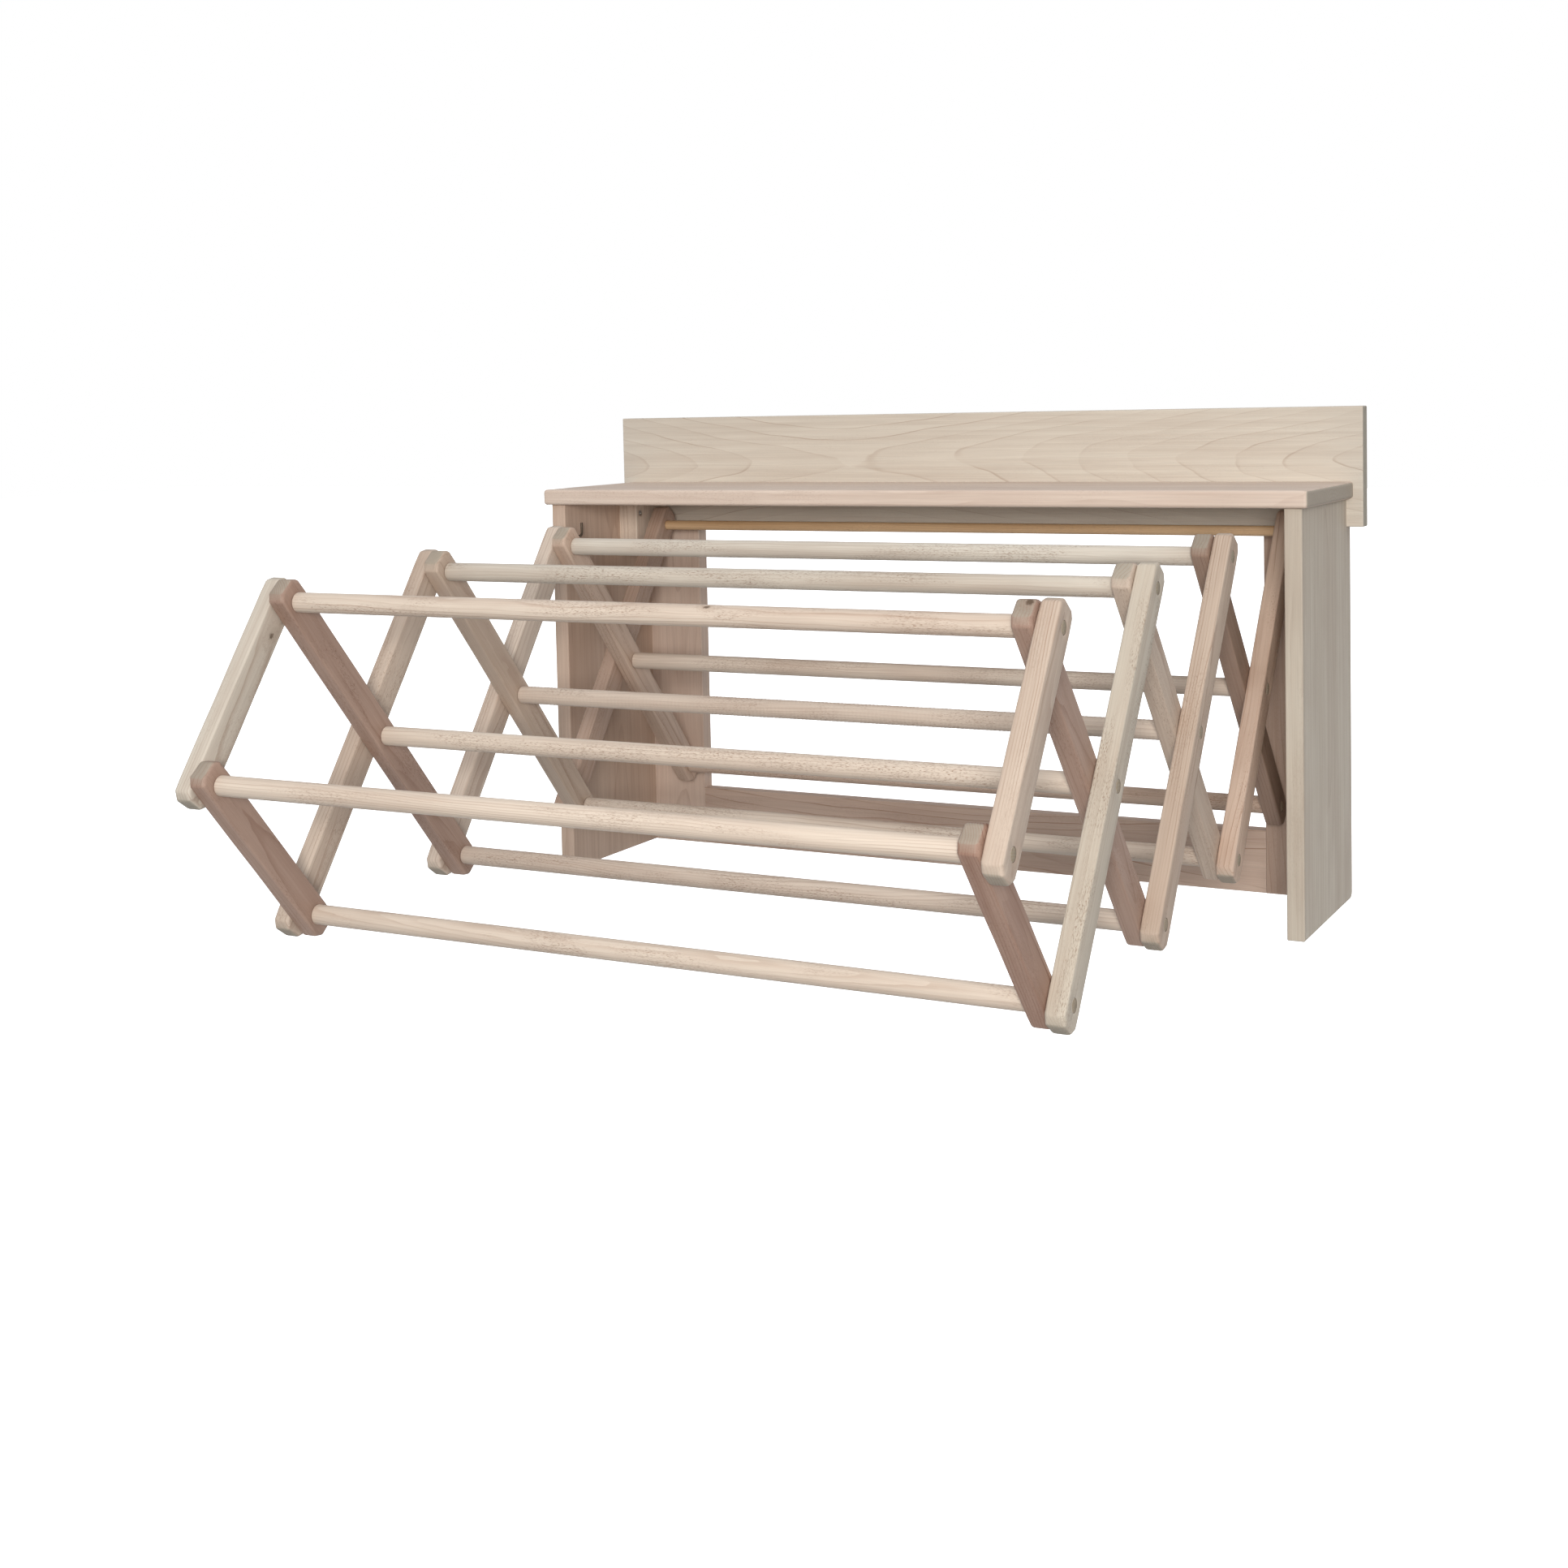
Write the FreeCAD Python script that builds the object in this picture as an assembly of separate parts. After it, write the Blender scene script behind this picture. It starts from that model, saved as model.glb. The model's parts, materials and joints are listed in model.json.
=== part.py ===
import FreeCAD, Part
import math
import os

# Wall drying rack: a case with a shelf holds a lazy-tongs rack that pulls out from the wall.
# Millimetres. +X to the right, +Z up, the front faces -Y. The wall is the plane y = 0.
# The origin is the middle of the back board's rear face.

# Boards of the case
board_thickness = 19.0
back_board_height = 135.5
back_board_overhang = 19.0      # past the outer face of each side panel
back_board_rise = 84.5          # above the top of the shelf
shelf_front_overhang = 8.0
shelf_side_overhang = 7.5
stile_width = 75.0
rail_height = 73.0
panel_front_margin = 26.0       # side panel in front of the closed rack
panel_bottom_margin = 0.5       # side panel below the closed rack
board_edge_radius = 1.5
shelf_edge_radius = 4.0
panel_rear_corner_radius = 8.0

# Slats and rods of the rack
slat_pivot_spacing = 200.0      # between neighbouring pivots along a slat
slat_width = 32.0
slat_thickness = 19.0
slat_end_length = 23.0          # past the last pivot
slat_corner_cut = 7.0
slat_edge_radius = 2.2
rod_span = 758.0                # between the two shoulders of a rod
rod_diameter = 20.0
tenon_diameter = 12.0
tenon_end_chamfer = 0.5
running_clearance = 0.06        # radial, where a tenon turns in a hole
turning_gap = 0.2               # between slats that turn side by side
cell_count = 3                  # full crossings; a half crossing ends the rack

# How far the rack opens
open_angle = 38.2               # slat from the rack's own vertical
droop_angle = 2.3               # the whole rack hangs a little low at the front
closed_slat_gap = 2.7           # between neighbouring slats in the closed rack
rest_clearance = 1.3            # between the lowest slat ends and the stiles

# Pivot blocks that carry the upper rear dowel
block_thickness = 25.4
block_height = 70.0
block_slat_gap = 5.2
block_edge_radius = 1.0
block_screw_inset = 9.0         # from the block's front and rear faces
block_screw_drop = 18.0         # from the block's top and bottom
dowel_seat_depth = 16.0
dowel_seat_gap = 1.0

# Joining dowels, screws and wall plates
joint_dowel_diameter = 8.0
joint_dowel_length = 30.0
shallow_dowel_depth = 11.0
shelf_dowel_shares = (0.28, 0.55, 0.82)     # along a side panel, from the wall
stile_dowel_shares = (0.15, 0.5, 0.85)      # down a stile
paired_dowel_shares = (0.3, 0.7)            # across a stile's or the rail's end
screw_radius = 2.0
screw_head_radius = 4.2
screw_head_height = 2.6
screw_recess_depth = 1.6
screw_recess_width = 0.9
screw_recess_reach = 2.5
screw_tip_radius = 0.5
screw_bite = 14.0
keyhole_spacing = 406.4
keyhole_entry_radius = 5.0
keyhole_slot_width = 5.4
keyhole_slot_rise = 12.0
keyhole_plate_width = 20.0
keyhole_plate_height = 52.0
keyhole_plate_thickness = 2.0
keyhole_pocket_depth = 9.0
keyhole_head_room = 0.5         # round the head of the wall screw
keyhole_screw_inset = 7.0
hook_wire_radius = 1.5
hook_bend_radius = 4.0
hook_reach = 14.0
hook_rise = 17.0
hook_bite = 12.0
hook_inset = 16.0               # behind the front edge of the side panel
hook_drop = 5.0                 # below the upper rear dowel's axis

cutter_overshoot = 1.0          # how far a cutting shape passes a face

# Rack geometry worked out from the sizes above
open_rad = math.radians(open_angle)
droop_rad = math.radians(droop_angle)
closed_rad = 0.5 * math.asin((slat_width + closed_slat_gap) / slat_pivot_spacing)
rod_radius = rod_diameter / 2
tenon_radius = tenon_diameter / 2
inner_slat_x = rod_span / 2 + turning_gap
outer_slat_x = inner_slat_x + slat_thickness + turning_gap
rack_half_width = outer_slat_x + slat_thickness
block_x = rack_half_width + block_slat_gap
panel_x = block_x + block_thickness
panel_mid_x = panel_x + board_thickness / 2
case_half_width = panel_x + board_thickness


def slat_end_reach(lean):
    """How far a slat's end reaches sideways from its last pivot when it leans by this angle."""
    along_tip = slat_end_length * math.sin(lean) + (slat_width / 2 - slat_corner_cut) * math.cos(lean)
    side = slat_end_length - slat_corner_cut
    along_side = side * math.sin(lean) + slat_width / 2 * math.cos(lean)
    return max(along_tip, along_side)


row_drop = slat_pivot_spacing * math.cos(open_rad)
rod_pitch = 2 * slat_pivot_spacing * math.sin(open_rad)
pivot_depth = (rest_clearance + slat_end_reach(open_rad + droop_rad)
               + 2 * row_drop * math.sin(droop_rad))
block_depth = 2 * pivot_depth
pivot_y = -(board_thickness + pivot_depth)

board_top = back_board_height / 2
board_bottom = -back_board_height / 2
shelf_top = board_top - back_board_rise
shelf_bottom = shelf_top - board_thickness
pivot_z = shelf_bottom - block_height / 2
closed_drop = 2 * slat_pivot_spacing * math.cos(closed_rad)
case_bottom = pivot_z - closed_drop - slat_end_length - panel_bottom_margin
closed_reach = (cell_count + 0.5) * 2 * slat_pivot_spacing * math.sin(closed_rad) + slat_width / 2
panel_depth = -pivot_y + closed_reach + panel_front_margin
shelf_depth = panel_depth + shelf_front_overhang
hook_y = -(panel_depth - hook_inset)
hook_z = pivot_z - hook_drop

AXIS_X = FreeCAD.Vector(1, 0, 0)
AXIS_Y = FreeCAD.Vector(0, 1, 0)
AXIS_Z = FreeCAD.Vector(0, 0, 1)
BACK_X = FreeCAD.Vector(-1, 0, 0)
BACK_Y = FreeCAD.Vector(0, -1, 0)
HOOK_SIDE = -1                  # the left panel carries the catch hook


def point(x, y, z):
    return FreeCAD.Vector(x, y, z)


def box(low, high):
    """A block between two opposite corners."""
    size = [high[i] - low[i] for i in range(3)]
    return Part.makeBox(size[0], size[1], size[2], point(*low))


def rounded(shape, radius, chosen):
    """Fillet the edges that the chosen test accepts."""
    edges = [edge for edge in shape.Edges if chosen(edge)]
    return shape.makeFillet(radius, edges)


def rod_along_x(radius, x_from, x_to, y, z):
    return Part.makeCylinder(radius, x_to - x_from, point(x_from, y, z), AXIS_X)


def group(solids):
    return solids[0] if len(solids) == 1 else Part.makeCompound(solids)


def is_flat_on(edge, axis, value):
    """True for an edge that lies wholly in the plane axis = value."""
    return all(abs(getattr(vertex.Point, axis) - value) < 1e-6 for vertex in edge.Vertexes)


# Pivots of the rack. Row 0 is the top row, 1 the middle row, 2 the bottom row.
def pivot(row, column):
    """The y and z of a pivot; columns count from the wall, and the middle row is half a pitch nearer."""
    along = (column - 0.5 if row == 1 else column) * rod_pitch
    down = row * row_drop
    y = pivot_y - along * math.cos(droop_rad) + down * math.sin(droop_rad)
    z = pivot_z - along * math.sin(droop_rad) - down * math.cos(droop_rad)
    return y, z


# Fasteners
def wood_screw(head, direction, length):
    """A countersunk cross-recess wood screw; head is the middle of its flat top."""
    shank_start = head + direction * screw_head_height
    cone = Part.makeCone(screw_head_radius, screw_radius, screw_head_height, head, direction)
    shank = Part.makeCylinder(screw_radius, length - screw_head_height - screw_radius, shank_start, direction)
    tip_start = head + direction * (length - screw_radius)
    tip = Part.makeCone(screw_radius, screw_tip_radius, screw_radius, tip_start, direction)
    screw = cone.fuse([shank, tip]).removeSplitter()
    turn = FreeCAD.Rotation(AXIS_Z, direction)
    narrow = screw_recess_width / 2
    for half_x, half_y in ((screw_recess_reach, narrow), (narrow, screw_recess_reach)):
        slot = box((-half_x, -half_y, -screw_recess_depth), (half_x, half_y, screw_recess_depth))
        slot.Placement = FreeCAD.Placement(head, turn)
        screw = screw.cut(slot)
    return screw


def screw_hole(head, direction, length):
    """The countersunk hole that the same screw fills."""
    cone = Part.makeCone(screw_head_radius, screw_radius, screw_head_height, head, direction)
    shank = Part.makeCylinder(screw_radius, length, head, direction)
    return cone.fuse(shank)


def dowel_along(start, direction):
    return Part.makeCylinder(joint_dowel_diameter / 2, joint_dowel_length, start, direction)


# Where the fasteners sit
def shelf_dowels():
    """Upright dowels between each side panel and the shelf."""
    dowels = []
    start_z = shelf_bottom + shallow_dowel_depth - joint_dowel_length
    for side in (-1, 1):
        for share in shelf_dowel_shares:
            dowels.append(dowel_along(point(side * panel_mid_x, -panel_depth * share, start_z), AXIS_Z))
    return dowels


def stile_dowels():
    """Level dowels between each side panel and its stile."""
    dowels = []
    height = board_bottom - case_bottom
    for side, direction in ((-1, BACK_X), (1, AXIS_X)):
        start_x = side * (panel_x + shallow_dowel_depth - joint_dowel_length)
        for share in stile_dowel_shares:
            start = point(start_x, -board_thickness / 2, board_bottom - height * share)
            dowels.append(dowel_along(start, direction))
    return dowels


def board_dowels():
    """Upright dowels between each stile and the back board."""
    dowels = []
    start_z = board_bottom - joint_dowel_length / 2
    for side in (-1, 1):
        for share in paired_dowel_shares:
            x = side * (panel_x - stile_width * share)
            dowels.append(dowel_along(point(x, -board_thickness / 2, start_z), AXIS_Z))
    return dowels


def rail_dowels():
    """Level dowels between the bottom rail and the stiles."""
    dowels = []
    for side in (-1, 1):
        x = side * (panel_x - stile_width) - joint_dowel_length / 2
        for share in paired_dowel_shares:
            start = point(x, -board_thickness / 2, case_bottom + rail_height * share)
            dowels.append(dowel_along(start, AXIS_X))
    return dowels


def board_screw_places():
    """Screw heads in the back board's rear face: six into the shelf, one into each side panel."""
    length = board_thickness + screw_bite
    shelf_mid = shelf_bottom + board_thickness / 2
    notch_mid = (board_bottom + shelf_bottom) / 2
    inner = keyhole_spacing / 4
    outer = keyhole_spacing * 3 / 4
    edge = panel_x - joint_dowel_length
    places = [point(x, 0, shelf_mid) for x in (-edge, -outer, -inner, inner, outer, edge)]
    places += [point(side * panel_mid_x, 0, notch_mid) for side in (-1, 1)]
    return [(place, BACK_Y, length) for place in places]


def block_screw_places(side):
    """Two screws through a pivot block into its side panel, at opposite corners."""
    direction = AXIS_X if side > 0 else BACK_X
    length = block_thickness + screw_bite
    offset_y = pivot_depth - block_screw_inset
    offset_z = block_height / 2 - block_screw_drop
    corners = ((-offset_y, offset_z), (offset_y, -offset_z))
    return [(point(side * block_x, pivot_y + dy, pivot_z + dz), direction, length) for dy, dz in corners]


def keyhole_screw_places(side):
    """One small screw at each end of a keyhole plate."""
    reach = keyhole_plate_height / 2 - keyhole_screw_inset
    middle = keyhole_slot_rise / 2
    x = side * keyhole_spacing / 2
    return [(point(x, 0, middle + dz), BACK_Y, screw_bite) for dz in (-reach, reach)]


def drilled(shape, places):
    return shape.cut([screw_hole(*place) for place in places])


# The case
def top_shelf():
    """The shelf: its front and side edges are well rounded."""
    half = case_half_width + shelf_side_overhang
    slab = box((-half, -shelf_depth, shelf_bottom), (half, -board_thickness, shelf_top))
    slab = rounded(slab, shelf_edge_radius, lambda edge: not is_flat_on(edge, "y", -board_thickness))
    shelf = slab.cut(shelf_dowels())
    return drilled(shelf, board_screw_places())


def back_board():
    """The wide board behind the shelf that carries the whole case on the wall."""
    half = case_half_width + back_board_overhang
    slab = box((-half, -board_thickness, board_bottom), (half, 0, board_top))
    board = rounded(slab, board_edge_radius, lambda edge: not is_flat_on(edge, "y", 0))
    board = drilled(board.cut(board_dowels()), board_screw_places())
    for side in (-1, 1):
        board = board.cut([keyhole_seat(side), keyhole_pocket(side)])
        board = drilled(board, keyhole_screw_places(side))
    return board


def side_panel(side):
    """A side panel, notched at the top of its rear edge for the back board."""
    low_x = min(side * panel_x, side * case_half_width)
    slab = box((low_x, -panel_depth, case_bottom), (low_x + board_thickness, 0, shelf_bottom))
    slab = rounded(slab, panel_rear_corner_radius,
                   lambda edge: is_flat_on(edge, "y", 0) and is_flat_on(edge, "z", case_bottom))
    over = cutter_overshoot
    notch = box((low_x - over, -board_thickness, board_bottom),
                (low_x + board_thickness + over, over, shelf_bottom + over))
    panel = slab.cut(notch)
    panel = rounded(panel, board_edge_radius,
                    lambda edge: is_flat_on(edge, "y", -panel_depth) or is_flat_on(edge, "z", case_bottom))
    panel = panel.cut(shelf_dowels() + stile_dowels())
    if side == HOOK_SIDE:
        panel = panel.cut(catch_hook())
    return drilled(panel, block_screw_places(side) + board_screw_places())


def rear_stile(side):
    """The upright behind each end of the rack, glued to its side panel."""
    low_x = min(side * panel_x, side * (panel_x - stile_width))
    slab = box((low_x, -board_thickness, case_bottom), (low_x + stile_width, 0, board_bottom))
    inner_x = side * (panel_x - stile_width)
    slab = rounded(slab, board_edge_radius / 2,
                   lambda edge: is_flat_on(edge, "x", inner_x) and is_flat_on(edge, "y", -board_thickness))
    return slab.cut(stile_dowels() + board_dowels() + rail_dowels())


def bottom_rail():
    """The level rail between the two stiles."""
    half = panel_x - stile_width
    slab = box((-half, -board_thickness, case_bottom), (half, 0, case_bottom + rail_height))
    rail = rounded(slab, board_edge_radius / 2,
                   lambda edge: is_flat_on(edge, "y", -board_thickness) and not is_flat_on(edge, "x", half)
                   and not is_flat_on(edge, "x", -half))
    return rail.cut(rail_dowels())


def pivot_block(side):
    """The block that the upper rear dowel turns in."""
    low_x = min(side * block_x, side * panel_x)
    half = block_depth / 2
    slab = box((low_x, pivot_y - half, pivot_z - block_height / 2),
               (low_x + block_thickness, pivot_y + half, shelf_bottom))
    slab = rounded(slab, block_edge_radius,
                   lambda edge: is_flat_on(edge, "x", side * block_x)
                   and not is_flat_on(edge, "z", shelf_bottom)
                   and not is_flat_on(edge, "y", -board_thickness))
    depth = dowel_seat_depth + dowel_seat_gap
    seat = Part.makeCylinder(tenon_radius + running_clearance, depth,
                             point(side * block_x, pivot_y, pivot_z), AXIS_X if side > 0 else BACK_X)
    return drilled(slab.cut(seat), block_screw_places(side))


def catch_hook():
    """A bent steel hook screwed into the left side panel, for tying the closed rack back."""
    wall_x = HOOK_SIDE * panel_x
    inwards = -HOOK_SIDE
    start = point(wall_x - inwards * hook_bite, hook_y, hook_z)
    bend = point(wall_x + inwards * (hook_reach - hook_bend_radius), hook_y, hook_z)
    low = point(wall_x + inwards * hook_reach, hook_y, hook_z + hook_bend_radius)
    top = point(wall_x + inwards * hook_reach, hook_y, hook_z + hook_rise)
    diagonal = hook_bend_radius * (1 - math.sqrt(0.5))
    middle = point(wall_x + inwards * (hook_reach - diagonal), hook_y, hook_z + diagonal)
    path = Part.Wire([Part.LineSegment(start, bend).toShape(),
                      Part.Arc(bend, middle, low).toShape(),
                      Part.LineSegment(low, top).toShape()])
    section = Part.Wire([Part.makeCircle(hook_wire_radius, start, AXIS_X)])
    return path.makePipeShell([section], True, True)


# Wall plates
def keyhole_outline(radius, slot_width, low_y, high_y, x):
    """A round hole with a slot rising from it."""
    depth = high_y - low_y
    entry = Part.makeCylinder(radius, depth, point(x, low_y, 0), AXIS_Y)
    slot = box((x - slot_width / 2, low_y, 0), (x + slot_width / 2, high_y, keyhole_slot_rise))
    top = Part.makeCylinder(slot_width / 2, depth, point(x, low_y, keyhole_slot_rise), AXIS_Y)
    return entry.fuse([slot, top])


def keyhole_seat(side):
    """The shallow recess that a keyhole plate lies in, flush with the rear face."""
    x = side * keyhole_spacing / 2
    half_x = keyhole_plate_width / 2
    half_z = keyhole_plate_height / 2
    middle = keyhole_slot_rise / 2
    return box((x - half_x, -keyhole_plate_thickness, middle - half_z),
               (x + half_x, cutter_overshoot, middle + half_z))


def keyhole_pocket(side):
    """The deeper pocket behind the keyhole, for the head of the wall screw."""
    x = side * keyhole_spacing / 2
    low_y = -keyhole_plate_thickness - keyhole_pocket_depth
    head_width = 2 * (keyhole_entry_radius + keyhole_head_room)
    return keyhole_outline(head_width / 2, head_width, low_y, -keyhole_plate_thickness, x)


def keyhole_plate(side):
    """A steel plate that hangs the case on a wall screw."""
    x = side * keyhole_spacing / 2
    half_x = keyhole_plate_width / 2
    half_z = keyhole_plate_height / 2
    middle = keyhole_slot_rise / 2
    plate = box((x - half_x, -keyhole_plate_thickness, middle - half_z), (x + half_x, 0, middle + half_z))
    keyhole = keyhole_outline(keyhole_entry_radius, keyhole_slot_width, -keyhole_plate_thickness, 0, x)
    return drilled(plate.cut(keyhole), keyhole_screw_places(side))


# The rack
def slat_blank(low_x, crossings):
    """An upright slat with its first pivot at y = z = 0; its ends have clipped corners."""
    bottom = -crossings * slat_pivot_spacing - slat_end_length
    top = slat_end_length
    half = slat_width / 2
    cut = slat_corner_cut
    outline = [(half, top - cut), (half - cut, top), (cut - half, top), (-half, top - cut),
               (-half, bottom + cut), (cut - half, bottom), (half - cut, bottom), (half, bottom + cut)]
    corners = [point(low_x, y, z) for y, z in outline]
    face = Part.Face(Part.makePolygon(corners + corners[:1]))
    slat = face.extrude(point(slat_thickness, 0, 0))
    return slat.makeFillet(slat_edge_radius, slat.Edges)


def slat(low_x, crossings, hole_radii, first, last):
    """A slat from its first pivot down to its last, bored at every pivot."""
    blank = slat_blank(low_x, crossings)
    for index, radius in enumerate(hole_radii):
        z = -index * slat_pivot_spacing
        blank = blank.cut(rod_along_x(radius, low_x - cutter_overshoot,
                                      low_x + slat_thickness + cutter_overshoot, 0, z))
    lean = math.atan2(last[0] - first[0], first[1] - last[1])
    turn = FreeCAD.Rotation(AXIS_X, math.degrees(lean))
    blank.Placement = FreeCAD.Placement(point(0, first[0], first[1]), turn)
    return blank


def outer_slat(side, number):
    """An outer slat: every rod is glued into it. The last one is half length."""
    half = number > cell_count
    crossings = 1 if half else 2
    low_x = outer_slat_x if side > 0 else -rack_half_width
    first = pivot(0, number - 1)
    last = pivot(1, number) if half else pivot(2, number)
    return slat(low_x, crossings, [tenon_radius] * (crossings + 1), first, last)


def inner_slat(side, number):
    """An inner slat: it turns on the tenons, except on the lowest rear rod, which is glued to it."""
    half = number > cell_count
    crossings = 1 if half else 2
    low_x = inner_slat_x if side > 0 else -inner_slat_x - slat_thickness
    first = pivot(1, number) if half else pivot(0, number)
    last = pivot(2, number - 1)
    loose = tenon_radius + running_clearance
    radii = [loose] * (crossings + 1)
    if number == 1:
        radii[-1] = tenon_radius
    return slat(low_x, crossings, radii, first, last)


def rod(row, column):
    """A rod with a turned tenon at each end, flush with the outer slats."""
    y, z = pivot(row, column)
    shoulder = rod_span / 2
    end = rack_half_width
    if row == 2 and column == 0:
        shoulder = inner_slat_x
        end = inner_slat_x + slat_thickness
    body = rod_along_x(rod_radius, -shoulder, shoulder, y, z)
    tenons = rod_along_x(tenon_radius, -end, end, y, z)
    whole = body.fuse(tenons).removeSplitter()
    rims = [edge for edge in whole.Edges if is_flat_on(edge, "x", end) or is_flat_on(edge, "x", -end)]
    return whole.makeChamfer(tenon_end_chamfer, rims)


def upper_rear_dowel():
    """The plain dowel at the top of the first outer slats; it turns in the pivot blocks."""
    end = block_x + dowel_seat_depth
    return rod_along_x(tenon_radius, -end, end, pivot_y, pivot_z)


def sub_parts():
    """Every sub-part by its node name."""
    parts = {
        "top_shelf": top_shelf(),
        "back_board": back_board(),
        "bottom_rail": bottom_rail(),
        "upper_rear_dowel": upper_rear_dowel(),
        "shelf_dowels": group(shelf_dowels()),
        "stile_dowels": group(stile_dowels()),
        "board_dowels": group(board_dowels()),
        "rail_dowels": group(rail_dowels()),
        "board_screws": group([wood_screw(*place) for place in board_screw_places()]),
        "catch_hook": catch_hook(),
    }
    for side, name in ((-1, "left"), (1, "right")):
        parts["side_panel_" + name] = side_panel(side)
        parts["rear_stile_" + name] = rear_stile(side)
        parts["pivot_block_" + name] = pivot_block(side)
        parts["block_screws_" + name] = group([wood_screw(*place) for place in block_screw_places(side)])
        parts["keyhole_plate_" + name] = keyhole_plate(side)
        parts["keyhole_screws_" + name] = group([wood_screw(*place) for place in keyhole_screw_places(side)])
        for number in range(1, cell_count + 2):
            parts[f"outer_slat_{number}_{name}"] = outer_slat(side, number)
            parts[f"inner_slat_{number}_{name}"] = inner_slat(side, number)
    for number in range(1, cell_count + 1):
        parts[f"top_rod_{number}"] = rod(0, number)
    for number in range(1, cell_count + 2):
        parts[f"middle_rod_{number}"] = rod(1, number)
    for number in range(cell_count + 1):
        parts[f"bottom_rod_{number}"] = rod(2, number)
    return parts


def main():
    os.makedirs("parts", exist_ok=True)
    for name, shape in sub_parts().items():
        if not shape.isValid():
            raise ValueError(name + " is not a valid shape")
        shape.exportStep("parts/" + name + ".step")
    print("pivot_y", round(pivot_y, 3), "pivot_z", round(pivot_z, 3), "case_bottom", round(case_bottom, 2))
    print("panel_depth", round(panel_depth, 2), "panel_x", round(panel_x, 2),
          "closed_angle", round(math.degrees(closed_rad), 4))


main()
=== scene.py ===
import json
import math
import random
from functools import partial

import bmesh
import bpy
from mathutils import Matrix, Vector

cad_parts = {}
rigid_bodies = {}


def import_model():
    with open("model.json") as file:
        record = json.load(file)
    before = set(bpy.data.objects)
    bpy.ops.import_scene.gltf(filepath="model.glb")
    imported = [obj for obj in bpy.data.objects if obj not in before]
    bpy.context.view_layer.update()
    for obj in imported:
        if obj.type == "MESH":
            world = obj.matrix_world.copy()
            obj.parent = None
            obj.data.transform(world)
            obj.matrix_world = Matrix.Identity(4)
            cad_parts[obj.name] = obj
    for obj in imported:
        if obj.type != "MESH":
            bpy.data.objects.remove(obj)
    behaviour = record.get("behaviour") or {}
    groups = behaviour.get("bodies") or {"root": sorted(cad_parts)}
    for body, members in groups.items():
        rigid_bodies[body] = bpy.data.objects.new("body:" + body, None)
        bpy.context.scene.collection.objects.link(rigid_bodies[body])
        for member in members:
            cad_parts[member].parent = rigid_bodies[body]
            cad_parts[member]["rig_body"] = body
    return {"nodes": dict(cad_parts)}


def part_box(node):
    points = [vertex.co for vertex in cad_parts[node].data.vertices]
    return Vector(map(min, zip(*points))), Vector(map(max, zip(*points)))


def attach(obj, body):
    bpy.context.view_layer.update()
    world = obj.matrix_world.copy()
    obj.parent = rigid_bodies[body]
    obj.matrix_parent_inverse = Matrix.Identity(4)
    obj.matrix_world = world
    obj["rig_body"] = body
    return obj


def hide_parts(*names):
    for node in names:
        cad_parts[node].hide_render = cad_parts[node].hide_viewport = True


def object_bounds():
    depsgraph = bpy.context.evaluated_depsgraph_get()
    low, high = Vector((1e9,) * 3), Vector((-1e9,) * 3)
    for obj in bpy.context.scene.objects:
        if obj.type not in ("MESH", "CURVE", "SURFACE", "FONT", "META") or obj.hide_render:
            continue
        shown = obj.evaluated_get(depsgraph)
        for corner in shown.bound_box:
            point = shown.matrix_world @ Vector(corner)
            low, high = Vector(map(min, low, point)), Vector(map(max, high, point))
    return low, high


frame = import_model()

# A wall drying rack: unfinished maple boards, slats and turned rods, with a few zinc-plated fittings.
# Metres. +X to the right, +Z up, the front faces -Y, and the wall is the plane y = 0.

bl_info = {
    "name": "Lazy-tongs drying rack",
    "version": (1, 0, 0),
    "blender": (4, 5, 0),
    "location": "3D View > Sidebar > Drying rack",
    "description": "Builds the wood, the rods and the fittings of a wall drying rack round its frame",
    "category": "Object",
}

SIDES = {"left": -1, "right": 1}
CELLS = sum(1 for name in frame["nodes"] if name.startswith("top_rod_"))
CAD_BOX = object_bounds()
AXIS_X = Vector((1, 0, 0))
AXIS_Y = Vector((0, 1, 0))
AXIS_Z = Vector((0, 0, 1))


# Sizes read from the frame
def middle(node):
    low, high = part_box(node)
    return (low + high) / 2


def extent(node):
    low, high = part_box(node)
    return high - low


def loose_parts(node):
    """The box of each separate solid in a node that groups several."""
    work = bmesh.new()
    work.from_mesh(frame["nodes"][node].data)
    bmesh.ops.remove_doubles(work, verts=work.verts, dist=1e-6)
    waiting = set(work.verts)
    boxes = []
    while waiting:
        reached = [waiting.pop()]
        found = []
        while reached:
            vertex = reached.pop()
            found.append(vertex.co.copy())
            for edge in vertex.link_edges:
                other = edge.other_vert(vertex)
                if other in waiting:
                    waiting.remove(other)
                    reached.append(other)
        low = Vector(min(point[axis] for point in found) for axis in range(3))
        high = Vector(max(point[axis] for point in found) for axis in range(3))
        boxes.append((low, high))
    work.free()
    return sorted(boxes, key=lambda corners: tuple(corners[0]))


TENON_DIAMETER = extent("upper_rear_dowel").z
ROD_DIAMETER = extent("top_rod_1").z


# What a user would change
def colour_setting(name, description, default):
    return bpy.props.FloatVectorProperty(
        name=name, description=description, subtype="COLOR", size=4, min=0, max=1, default=(*default, 1))


def length_setting(name, description, default, least=0.0):
    return bpy.props.FloatProperty(
        name=name, description=description, unit="LENGTH", min=least, default=default)


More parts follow.
